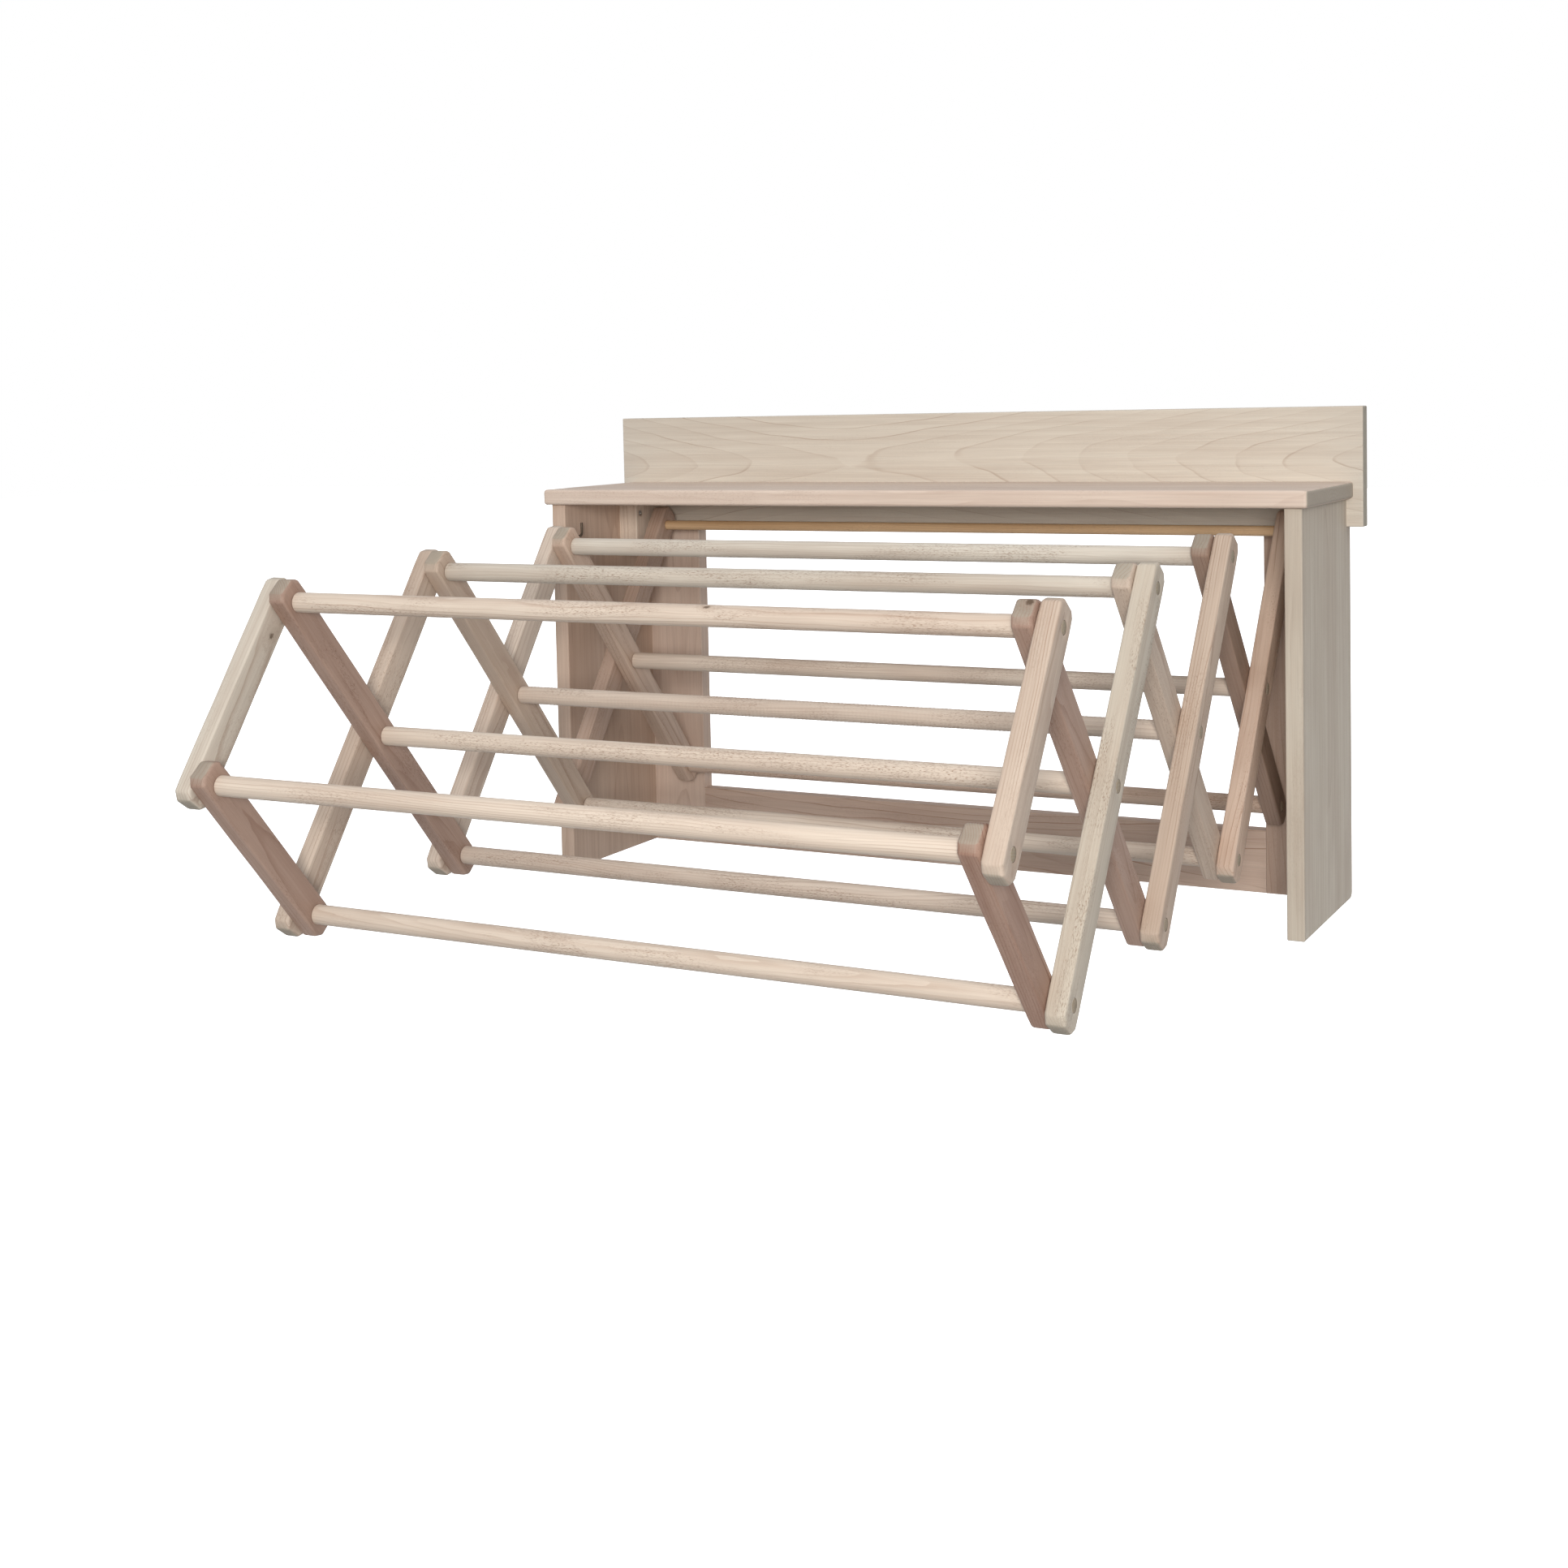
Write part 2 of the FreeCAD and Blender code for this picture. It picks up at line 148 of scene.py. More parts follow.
class RackWood(bpy.types.PropertyGroup):
    light_wood: colour_setting("Light wood", "Colour of the palest early wood", (0.67, 0.56, 0.465))
    dark_wood: colour_setting("Dark wood", "Colour of the darker streaks and blotches", (0.52, 0.40, 0.32))
    ring_line: colour_setting("Growth line", "Colour of the thin line that ends each year's growth",
                              (0.34, 0.21, 0.145))
    end_wood: colour_setting("End grain", "Colour of a face sawn across the grain", (0.37, 0.33, 0.265))
    tenon_end: colour_setting("Tenon end", "Colour of a rod's sawn end, seen in its hole",
                              (0.29, 0.235, 0.155))
    # The golden dowel's colour is its own wood, made paler as painted light for the shade it sits in under
    # the shelf
    dowel_colour_and_light: colour_setting("Golden dowel", "Colour of the upper rear dowel, which is a different wood",
                               (0.66, 0.45, 0.26))
    fibre_relief: length_setting("Fibre relief", "Depth of the raised fibres on a sanded face", 0.00035)


class RackSlats(bpy.types.PropertyGroup):
    width: length_setting("Width", "Width of a slat across its face", 0.032, 0.01)
    end_length: length_setting("End length", "From the last pivot to the slat's end", 0.023, 0.01)
    corner_cut: length_setting("Corner cut", "Size of the clipped corners at both ends", 0.007)
    corner_radius: length_setting("Corner radius", "Rounding of the clipped corners", 0.005, 0.0005)
    edge_radius: length_setting("Edge radius", "Rounding of the long edges", 0.0022, 0.0005)
    end_softness: bpy.props.FloatProperty(
        name="End softness", description="How much more the edges are rounded at both ends", min=0, max=1,
        default=0.75)
    edge_wander: bpy.props.FloatProperty(
        name="Edge wander", description="Share by which hand sanding varies the rounding",
        subtype="FACTOR", min=0, max=0.4, default=0.22)
    rim_ease: length_setting("Rim ease", "Softened rim round each pivot hole", 0.0005)
    hole_gap: length_setting("Hole gap", "Radial gap between a tenon and its hole", 0.00006)


class RackRods(bpy.types.PropertyGroup):
    sides: bpy.props.IntProperty(
        name="Sides", description="Points round a rod", min=12, default=40)
    shoulder_ease: length_setting("Shoulder ease", "Rounding of the shoulder where a rod meets its slat",
                                  0.0009)
    tenon_ease: length_setting("Tenon ease", "Chamfer round the end of a tenon", 0.0005)
    wander: length_setting("Wander", "How far the radius varies along a sanded rod", 0.00012)
    ripple_depth: length_setting("Ripple depth", "Depth of the cutter's ripples on a chattered rod", 0.00009)
    ripple_length: length_setting("Ripple length", "Distance between two ripples", 0.0046, 0.001)
    rippled_rod: bpy.props.StringProperty(
        name="Rippled rod", description="The rod that the cutter chattered on", default="middle_rod_2")


class RackSteel(bpy.types.PropertyGroup):
    zinc: colour_setting("Zinc plate", "Colour of the plated screws and plates", (0.62, 0.61, 0.58))
    bronze: colour_setting("Dark hook", "Colour of the bronzed catch hook", (0.10, 0.075, 0.055))
    thread_pitch: length_setting("Thread pitch", "Distance between two turns of a screw's thread",
                                 0.0018, 0.0005)


class RackStage(bpy.types.PropertyGroup):
    floor_depth: length_setting("Floor depth", "How far below the case the floor lies", 0.95)
    key_power: bpy.props.FloatProperty(
        name="Key light", description="Power of the soft light in front, a little to the right", unit="POWER",
        min=0, default=112)
    sky: bpy.props.FloatProperty(
        name="Room light", description="Strength of the even light from above", min=0, default=0.74)


# Node trees
def feed(socket, value):
    """Joins another node's output to a socket, or sets the socket's own value."""
    if isinstance(value, bpy.types.NodeSocket):
        socket.id_data.links.new(value, socket)
    else:
        socket.default_value = value


def tree_of(*values):
    """The tree of the first of these values that is a node's output."""
    return next(value.id_data for value in values if isinstance(value, bpy.types.NodeSocket))


def add_node(tree, kind, inputs=None, **settings):
    made = tree.nodes.new(kind)
    for name, value in settings.items():
        setattr(made, name, value)
    for name, value in (inputs or {}).items():
        feed(made.inputs[name], value)
    return made


def calc(operation, *values):
    made = add_node(tree_of(*values), "ShaderNodeMath", dict(enumerate(values)), operation=operation)
    return made.outputs[0]


times, times_plus, plus, minus, over = (
    partial(calc, operation) for operation in ("MULTIPLY", "MULTIPLY_ADD", "ADD", "SUBTRACT", "DIVIDE"))


def clamped(value):
    return add_node(tree_of(value), "ShaderNodeClamp", {0: value}).outputs[0]


def vector_calc(operation, *values):
    made = add_node(tree_of(*values), "ShaderNodeVectorMath", dict(enumerate(values)), operation=operation)
    return made.outputs["Value" if operation in ("LENGTH", "DOT_PRODUCT", "DISTANCE") else "Vector"]


def ramp(value, start, end):
    """0 up to start, 1 from end on, and a smooth rise between; end may be the lower of the two."""
    inputs = {0: value, 1: start, 2: end, 3: 0.0, 4: 1.0}
    made = add_node(tree_of(value), "ShaderNodeMapRange", inputs, interpolation_type="SMOOTHSTEP")
    return made.outputs[0]


def noise(place, stretch, detail=2.0, roughness=0.5):
    """Soft noise whose features are 1/stretch long along each axis."""
    scaled = vector_calc("MULTIPLY", place, stretch)
    inputs = {"Vector": scaled, "Scale": 1.0, "Detail": detail, "Roughness": roughness}
    return add_node(tree_of(place), "ShaderNodeTexNoise", inputs).outputs[0]


def blend_colours(amount, first, second, way="MIX"):
    made = add_node(tree_of(amount, first, second), "ShaderNodeMix", data_type="RGBA", blend_type=way)
    feed(made.inputs[0], amount)
    feed(made.inputs[6], first)
    feed(made.inputs[7], second)
    return made.outputs[2]


SOCKET_KINDS = {float: "Float", int: "Int", Vector: "Vector", tuple: "Color"}


def new_group(name, kind, sockets_in, sockets_out):
    """An empty node group. An input is given by its default or by its kind, and an output by its kind."""
    tree = bpy.data.node_groups.new(name, kind)
    for label, default in sockets_in.items():
        has_default = not isinstance(default, str)
        kind_in = SOCKET_KINDS[type(default)] if has_default else default
        socket = tree.interface.new_socket(name=label, in_out="INPUT", socket_type="NodeSocket" + kind_in)
        if has_default:
            socket.default_value = default
    for label, kind_out in sockets_out.items():
        tree.interface.new_socket(name=label, in_out="OUTPUT", socket_type="NodeSocket" + kind_out)
    return tree


# The figure's noises, in features per metre along the grain, across it and through the board
KNOT_EDGE = (420, 420, 420)
SLOW_WANDER = (2.6, 16, 16)
QUICK_WANDER = (22, 90, 90)
LINE_FADING = (7, 40, 40)
STREAKS = (2.2, 150, 150)
FIBRES = (14, 1100, 1100)
BLOTCHES = (4.5, 17, 17)
FLECK_PATCHES = (9, 45, 45)
FLECKS = (300, 2300, 2300)
PORES = (1500, 1900, 1900)
END_MOTTLE = (120, 150, 150)
EDGE_FUZZ_AND_HIGHLIGHT = (60, 90, 90)
GROWTH_LINE_WIDTH = 0.0011
# The brown of a knot's heart, and also painted shade inside a hole
KNOT_HEART_AND_HOLE_SHADE = (0.12, 0.075, 0.045, 1)      # a knot's heart and the inside of a hole


def maple_figure():
    """The figure of flat-sawn maple.

    Place is in metres, with X along the grain and the pith below the board.
    """
    wood = bpy.context.scene.rack_wood
    tree = new_group("maple_figure", "ShaderNodeTree", {
        "Place": "Vector", "Seed": 0.0, "End face": 0.0, "Edge": 0.0,
        "Light": tuple(wood.light_wood), "Dark": tuple(wood.dark_wood), "Line": tuple(wood.ring_line),
        "End": tuple(wood.end_wood), "Ring width": 0.004, "Pith depth": 0.05, "Taper": 0.02,
        "Line amount": 0.5, "Blotches": 0.5, "Flecks": 0.4, "Knot place": Vector((0, 0, 0)), "Knot size": 0.0,
    }, {"Colour": "Color", "Roughness": "Float", "Relief": "Float"})
    start = tree.nodes.new("NodeGroupInput").outputs
    place = start["Place"]
    seed = start["Seed"]
    shifts = {0: seed, 1: times(seed, 0.37), 2: times(seed, 0.71)}
    shift = add_node(tree, "ShaderNodeCombineXYZ", shifts).outputs[0]
    spot = vector_calc("ADD", place, shift)

    # Knot: a dark eye that the growth lines flow round
    away = vector_calc("MULTIPLY", vector_calc("SUBTRACT", place, start["Knot place"]), (0.6, 1, 1))
    rough_edge = times_plus(noise(spot, KNOT_EDGE, 3.0, 0.7), 1.8, 0.1)
    eye_size = calc("MAXIMUM", times(start["Knot size"], rough_edge), 1e-5)
    knot_distance = over(vector_calc("LENGTH", away), eye_size)
    knot = ramp(knot_distance, 1.0, 0.45)
    knot_halo = ramp(knot_distance, 3.2, 0.8)

    # Growth rings: wandering cones about the pith, cut by the face of the board
    parts = add_node(tree, "ShaderNodeSeparateXYZ", {0: place}).outputs
    depth = plus(parts[2], start["Pith depth"])
    radius = calc("SQRT", plus(calc("POWER", parts[1], 2.0), calc("POWER", depth, 2.0)))
    run = calc("SQRT", times_plus(parts[0], parts[0], 0.01))
    cone = times(run, start["Taper"])
    slow = minus(noise(spot, SLOW_WANDER, 2.0), 0.5)
    quick = minus(noise(spot, QUICK_WANDER, 2.0), 0.5)
    wander = times_plus(slow, 0.022, times(quick, 0.0016))
    wander = times_plus(knot_halo, 0.003, wander)
    growth = over(plus(minus(radius, cone), wander), start["Ring width"])
    year = calc("FLOOR", growth)
    season = calc("FRACT", growth)
    year_strength = add_node(tree, "ShaderNodeTexWhiteNoise", {"W": year}, noise_dimensions="1D").outputs[0]
    line_start = minus(1.0, over(GROWTH_LINE_WIDTH, start["Ring width"]))
    late = times(ramp(season, line_start, 0.97), ramp(season, 1.0, 0.98))
    faded = ramp(noise(spot, LINE_FADING, 2.0), 0.32, 0.62)
    line = times(times(late, faded), times_plus(year_strength, 0.75, 0.25))
    line = clamped(times(line, start["Line amount"]))

    # Fibres, streaks, flecks and blotches
    streaks = ramp(noise(spot, STREAKS, 3.0, 0.6), 0.34, 0.68)
    fibres = noise(spot, FIBRES, 3.0, 0.65)
    blotch = ramp(noise(spot, BLOTCHES, 3.0, 0.55), 0.38, 0.66)
    fleck_patch = ramp(noise(spot, FLECK_PATCHES, 2.0), 0.44, 0.62)
    fleck_shape = ramp(noise(spot, FLECKS, 1.0, 0.4), 0.57, 0.67)
    flecks = times(times(fleck_shape, fleck_patch), times(start["Flecks"], 0.95))

    darkness = times_plus(blotch, start["Blotches"], times(streaks, 0.34))
    darkness = clamped(times_plus(season, 0.16, darkness))
    colour = blend_colours(darkness, start["Light"], start["Dark"])
    colour = blend_colours(line, colour, start["Line"])
    colour = blend_colours(flecks, colour, start["Line"])
    fibre_tone = times_plus(fibres, 0.30, 0.85)
    grey = add_node(tree, "ShaderNodeCombineColor", {0: fibre_tone, 1: fibre_tone, 2: fibre_tone}).outputs[0]
    colour = blend_colours(1.0, colour, grey, "MULTIPLY")

    # End grain: open pores and closely packed rings
    pores = ramp(noise(spot, PORES, 2.0, 0.6), 0.50, 0.66)
    mottle = noise(spot, END_MOTTLE, 3.0, 0.6)
    end_dark = clamped(times_plus(pores, 0.30, times(mottle, 0.55)))
    end_colour = blend_colours(end_dark, start["Light"], start["End"])
    end_colour = blend_colours(0.70, end_colour, start["End"])
    end_colour = blend_colours(times(late, 0.45), end_colour, start["Line"])
    colour = blend_colours(start["End face"], colour, end_colour)

    # Edges are a little paler, partly sanding fuzz and partly a painted highlight, the insides of the bored
    # holes get painted shade, and knots are nearly black in the middle
    bored = clamped(times(start["Edge"], -1.0))
    colour = blend_colours(bored, colour, KNOT_HEART_AND_HOLE_SHADE)
    # Paler rounded edges: partly sanding fuzz, partly a painted highlight where the rounding catches the
    # light
    edge_fuzz_and_highlight = times(clamped(start["Edge"]), ramp(noise(spot, EDGE_FUZZ_AND_HIGHLIGHT, 2.0), 0.35, 0.65))
    colour = blend_colours(times(edge_fuzz_and_highlight, 0.22), colour, start["Light"])
    colour = blend_colours(times(knot_halo, 0.30), colour, start["Line"])
    colour = blend_colours(times(knot, 0.85), colour, KNOT_HEART_AND_HOLE_SHADE)

    roughness = times_plus(streaks, 0.10, 0.56)
    roughness = times_plus(start["End face"], 0.16, roughness)
    relief = times_plus(flecks, -0.8, fibres)
    relief = times_plus(line, -0.35, relief)
    relief = times_plus(times(pores, start["End face"]), -0.7, relief)
    relief = times_plus(knot, -0.9, relief)
    end = tree.nodes.new("NodeGroupOutput")
    feed(end.inputs["Colour"], colour)
    feed(end.inputs["Roughness"], roughness)
    feed(end.inputs["Relief"], relief)
    return tree


def grain_axes(along, across):
    """Rows that turn the object's own axes into grain, width and thickness."""
    thick = along.cross(across)
    return Matrix((along, across, thick))


def box_edges(place, half):
    """1 along the edges of a board of this half size, fading to 0 within a few millimetres."""
    inset = vector_calc("SUBTRACT", half, vector_calc("ABSOLUTE", place))
    parts = add_node(tree_of(inset), "ShaderNodeSeparateXYZ", {0: inset}).outputs
    lower = calc("MINIMUM", parts[0], parts[1])
    upper = calc("MAXIMUM", parts[0], parts[1])
    nearest_edge = calc("MAXIMUM", lower, calc("MINIMUM", upper, parts[2]))
    return ramp(nearest_edge, 0.003, 0.0004)


def bare_material(name):
    """A material with no nodes yet, and its tree."""
    material = bpy.data.materials.new(name)
    material.use_nodes = True
    material.node_tree.nodes.clear()
    return material, material.node_tree


# How one board's colour differs from another's: a tint on the whole figure. The tints are partly each board's
# own wood and partly painted light and shade, fitted piece by piece: the paler tints brighten pieces the
# lamps leave too dark, and the darker ones darken pieces that lie in shade.
WOOD_AND_LIGHTING_TINTS = {
    "pale": (0.95, 1.02, 1.04),
    "bright": (1.08, 1.10, 1.10),
    "ivory": (1.05, 1.15, 1.19),
    "cream": (1.0, 1.0, 1.0),
    "blush": (1.10, 1.08, 1.09),
    "pink": (1.02, 0.96, 0.95),
    "grey": (0.86, 0.91, 0.90),
    "fawn": (0.89, 0.87, 0.85),
    "rosy": (0.93, 0.84, 0.79),
    "tan": (0.82, 0.77, 0.73),
    "clay": (0.86, 0.77, 0.74),
    "brown": (0.72, 0.62, 0.58),
    "russet": (0.57, 0.44, 0.40),
    "dark": (0.60, 0.49, 0.46),
    "deep": (0.47, 0.38, 0.34),
}


def maple(name, axes, centre, seed, half=None, pith=(0.0, 0.0), relief=1.0, tone="cream",
          knot=None, **figure):
    """A maple finish for one piece: its grain runs along the first of the axes.

    centre is the middle of the figure in the row frame, and pith moves it along and across the board.
    tone names a tint in the table above, partly the board's own colour and partly painted light and shade,
    and knot is its place from the centre, along the axes, and its radius. Any of the figure's own inputs can
    be given by name, with _ for a space.
    """
    wood = bpy.context.scene.rack_wood
    material, tree = bare_material(name)
    where = tree.nodes.new("ShaderNodeTexCoord").outputs
    centred = add_node(tree, "ShaderNodeMapping", {"Vector": where["Object"]})
    centred.inputs["Rotation"].default_value = axes.to_euler("XYZ")
    centred.inputs["Location"].default_value = -(axes @ centre) - Vector((pith[0], pith[1], 0))
    place = centred.outputs[0]
    facing = calc("ABSOLUTE", vector_calc("DOT_PRODUCT", where["Normal"], tuple(axes[0])))
    end_face = ramp(facing, 0.62, 0.86)
    if half is None:
        edge = add_node(tree, "ShaderNodeAttribute", attribute_name="edge").outputs["Fac"]
    else:
        middle_place = vector_calc("ADD", place, (pith[0], pith[1], 0))
        edge = box_edges(middle_place, half)
    group = tree.nodes.new("ShaderNodeGroup")
    group.node_tree = bpy.data.node_groups.get("maple_figure") or maple_figure()
    feed(group.inputs["Place"], place)
    feed(group.inputs["Seed"], seed)
    feed(group.inputs["End face"], end_face)
    feed(group.inputs["Edge"], edge)
    for label, value in figure.items():
        feed(group.inputs[label.replace("_", " ").capitalize()], value)
    if knot:
        feed(group.inputs["Knot place"], Vector(knot[0]) - Vector((pith[0], pith[1], 0)))
        feed(group.inputs["Knot size"], knot[1])
    # The tint multiplies the whole piece: partly its own colour, partly painted light and shade; end faces
    # take less of it
    strength = times_plus(end_face, -0.6, 1.0)
    colour = blend_colours(strength, group.outputs["Colour"], (*WOOD_AND_LIGHTING_TINTS[tone], 1), "MULTIPLY")
    bump = add_node(tree, "ShaderNodeBump", {"Strength": 0.6, "Distance": wood.fibre_relief * relief,
                                             "Height": group.outputs["Relief"]})
    shader = add_node(tree, "ShaderNodeBsdfPrincipled", {
        "Base Color": colour, "Roughness": group.outputs["Roughness"],
        "Normal": bump.outputs[0], "Specular IOR Level": 0.32})
    feed(tree.nodes.new("ShaderNodeOutputMaterial").inputs["Surface"], shader.outputs[0])
    return material


def steel(name, colour, roughness):
    """Plated steel with fine scratches and dull patches."""
    material, tree = bare_material(name)
    place = tree.nodes.new("ShaderNodeTexCoord").outputs["Object"]
    patches = noise(place, (180, 180, 180), 4.0, 0.6)
    scratches = noise(place, (240, 2600, 2600), 2.0, 0.6)
    dull = tuple(channel * 0.62 for channel in colour[:3]) + (1,)
    shade = blend_colours(ramp(patches, 0.42, 0.7), tuple(colour), dull)
    sheen = times_plus(patches, 0.22, roughness)
    bump = add_node(tree, "ShaderNodeBump", {"Strength": 0.35, "Distance": 0.00008, "Height": scratches})
    shader = add_node(tree, "ShaderNodeBsdfPrincipled", {
        "Base Color": shade, "Roughness": sheen, "Metallic": 1.0, "Normal": bump.outputs[0]})
    feed(tree.nodes.new("ShaderNodeOutputMaterial").inputs["Surface"], shader.outputs[0])
    return material


# Meshes
def piece_from(mesh, name, material, node, smooth_angle=35):
    """Turns a finished mesh into a piece that rides on a node's body and stands for that node."""
    mesh.materials.clear()
    mesh.materials.append(material)
    mesh.shade_smooth()
    mesh.set_sharp_from_angle(angle=math.radians(smooth_angle))
    piece = bpy.data.objects.new(name, mesh)
    bpy.context.scene.collection.objects.link(piece)
    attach(piece, frame["nodes"][node]["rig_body"])
    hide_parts(node)


def rounded_outline(corners, radius, step):
    """A closed outline with rounded corners, as (point, inward direction), with more points on its sides."""
    outline = []
    count = len(corners)
    for index, corner in enumerate(corners):
        before = (corners[index - 1] - corner).normalized()
        after = (corners[(index + 1) % count] - corner).normalized()
        half_angle = before.angle(after) / 2
        heart = corner + (before + after).normalized() * (radius / math.sin(half_angle))
        first = corner + before * (radius / math.tan(half_angle)) - heart
        last = corner + after * (radius / math.tan(half_angle)) - heart
        for part in range(ARC_STEPS + 1):
            spoke = first.lerp(last, part / ARC_STEPS).normalized()
            outline.append((heart + spoke * radius, -spoke))
        reach = (corners[(index + 1) % count] - corner).length
        pieces = max(1, round(reach / step))
        following = corners[(index + 2) % count] - corners[(index + 1) % count]
        next_half = (-after).angle(following.normalized()) / 2
        side_end = corners[(index + 1) % count] - after * (radius / math.tan(next_half))
        for part in range(1, pieces):
            outline.append(((heart + last).lerp(side_end, part / pieces), -last.normalized()))
    return outline


def ring_quads(work, rings):
    """Joins neighbouring closed rings of vertices with four-sided faces."""
    for lower, upper in zip(rings, rings[1:]):
        for index in range(len(lower)):
            following = (index + 1) % len(lower)
            work.faces.new((lower[index], lower[following], upper[following], upper[index]))


# What the attribute edge says: 1 on the rounded edges, 0 on the flats, and negative inside the holes, where
# it paints shade
EDGE_ROUNDED = 1.0
EDGE_MARGIN = 0.35
EDGE_HOLE_SHADE = -0.8
HOLE_SIDES = 48
ARC_STEPS = 4


def eased_plate(outline, holes, thickness, edge_radius, rim, wander, rng, to_world, softer):
    """A plate with rounded edges and through holes, as a closed bmesh.

    outline is from rounded_outline, and holes are (centre, radius). The rounding wanders a little, as sanding
    leaves it, and softer gives how many times larger it is at a point of the outline.
    """
    work = bmesh.new()
    edge_layer = work.verts.layers.float.new("edge")
    count = len(outline)
    phases = [rng.uniform(0, math.tau) for _ in range(6)]

    def eased(index, side):
        turn = math.tau * index / count
        wave = sum(math.sin(turn * (3 + 4 * k) + phases[k + 3 * side]) for k in range(3)) / 3
        return edge_radius * (1 + wander * wave)

    arc = [math.pi / 2 * part / ARC_STEPS for part in range(ARC_STEPS + 1)]
    profile = [(0, angle) for angle in arc] + [(1, angle) for angle in reversed(arc)]
    rings = []
    for side, angle in profile:
        ring = []
        for index, (point, inward) in enumerate(outline):
            radius = eased(index, side) * softer(point)
            spot = point + inward * radius * (1 - math.sin(angle))
            height = radius * (1 - math.cos(angle))
            vertex = work.verts.new(to_world(spot, height if side == 0 else thickness - height))
            vertex[edge_layer] = EDGE_ROUNDED if 0 < angle < math.pi / 2 else EDGE_MARGIN
            ring.append(vertex)
        rings.append(ring)
    ring_quads(work, rings)
    flats = ([rings[0]], [rings[-1]])
    for centre, radius in holes:
        steps = [(0, rim), (rim * 0.3, rim * 0.3), (rim, 0)]
        levels = steps + [(thickness - height, wide) for height, wide in reversed(steps)]
        hole_rings = []
        for height, wide in levels:
            circle = []
            for part in range(HOLE_SIDES):
                angle = math.tau * part / HOLE_SIDES
                spoke = Vector((math.cos(angle), math.sin(angle))) * (radius + wide)
                vertex = work.verts.new(to_world(centre + spoke, height))
                # Inside the hole the value paints shade
                vertex[edge_layer] = 0.0 if wide == rim else EDGE_HOLE_SHADE
                circle.append(vertex)
            hole_rings.append(circle)
        ring_quads(work, hole_rings)
        flats[0].append(hole_rings[0])
        flats[1].append(hole_rings[-1])
    for loops in flats:
        edges = []
        for loop in loops:
            for index in range(len(loop)):
                edges.append(work.edges.get((loop[index], loop[(index + 1) % len(loop)])))
        bmesh.ops.triangle_fill(work, use_beauty=True, edges=edges)
    bmesh.ops.recalc_face_normals(work, faces=work.faces)
    return work


# Geometry Nodes
def geometry_tree(name, sockets_in):
    shape = {"Geometry": "Geometry"}
    tree = new_group(name, "GeometryNodeTree", shape | sockets_in, shape)
    return tree, tree.nodes.new("NodeGroupInput").outputs


def close_tree(tree, geometry, material_socket):
    """Ends a tree with plain geometry that carries its material."""
    plain = add_node(tree, "GeometryNodeRealizeInstances", {"Geometry": geometry}).outputs[0]
    painted = add_node(tree, "GeometryNodeSetMaterial", {"Geometry": plain, "Material": material_socket})
    feed(tree.nodes.new("NodeGroupOutput").inputs[0], painted.outputs[0])


def stored(tree, name, kind="FLOAT"):
    """What the base mesh holds under this name at each of its points."""
    made = add_node(tree, "GeometryNodeInputNamedAttribute", {"Name": name}, data_type=kind)
    return made.outputs["Attribute"]


def grown(base, tree, values):
    """The plain mesh that a tree makes from a base mesh; values are set by each socket's identifier."""
    carrier = bpy.data.objects.new(base.name + "_base", base)
    bpy.context.scene.collection.objects.link(carrier)
    modifier = carrier.modifiers.new("shape", "NODES")
    modifier.node_group = tree
    keys = {item.name: item.identifier for item in tree.interface.items_tree if item.in_out == "INPUT"}
    for label, value in values.items():
        modifier[keys[label]] = value
    evaluated = carrier.evaluated_get(bpy.context.evaluated_depsgraph_get())
    mesh = bpy.data.meshes.new_from_object(evaluated)
    carrier.modifiers.remove(modifier)
    bpy.data.objects.remove(carrier)
    return mesh


def turned_rod_tree():
    """Turns a line of points, each with its radius, into a round rod with a slightly uneven surface."""
    tree, start = geometry_tree("turned_rod", {
        "Sides": 40, "Wander": 0.0001, "Ripple depth": 0.0, "Ripple length": 0.005, "Seed": 0.0,
        "Material": "Material"})
    line = add_node(tree, "GeometryNodeMeshToCurve", {"Mesh": start["Geometry"]}).outputs[0]
    radius = stored(tree, "turned_radius")
    free = stored(tree, "free_length")
    place = tree.nodes.new("GeometryNodeInputPosition").outputs[0]
    along = add_node(tree, "ShaderNodeSeparateXYZ", {0: place}).outputs[0]
    bumps = add_node(tree, "ShaderNodeTexNoise", {
        "W": times_plus(along, 9.0, start["Seed"]), "Scale": 1.0, "Detail": 2.0}, noise_dimensions="1D")
    swell = times(minus(bumps.outputs[0], 0.7), start["Wander"])
    waves = calc("SINE", over(times(along, math.tau), start["Ripple length"]))
    ripple = times(minus(waves, 1.0), start["Ripple depth"])
    uneven = times(plus(swell, ripple), free)
    final_radius = plus(radius, uneven)
    sized = add_node(tree, "GeometryNodeSetCurveRadius", {"Curve": line, "Radius": final_radius}).outputs[0]
    circle = add_node(tree, "GeometryNodeCurvePrimitiveCircle", {"Resolution": start["Sides"], "Radius": 1.0})
    swept = add_node(tree, "GeometryNodeCurveToMesh", {
        "Curve": sized, "Profile Curve": circle.outputs[0], "Fill Caps": True})
    feed(swept.inputs["Scale"], final_radius)
    close_tree(tree, swept.outputs[0], start["Material"])
    return tree


def turned_line(name, profile, y, z):
    """The base of a rod: points along X, each with a radius and a share of free, uneven surface."""
    mesh = bpy.data.meshes.new(name)
    points = [(x, y, z) for x, _, _ in profile]
    mesh.from_pydata(points, [(index, index + 1) for index in range(len(points) - 1)], [])
    radius = mesh.attributes.new("turned_radius", "FLOAT", "POINT")
    free = mesh.attributes.new("free_length", "FLOAT", "POINT")
    for index, (_, size, share) in enumerate(profile):
        radius.data[index].value = size
        free.data[index].value = share
    return mesh


def mirrored(half_profile):
    """A profile from the middle outwards, repeated towards -X."""
    return [(-x, size, share) for x, size, share in reversed(half_profile)] + half_profile


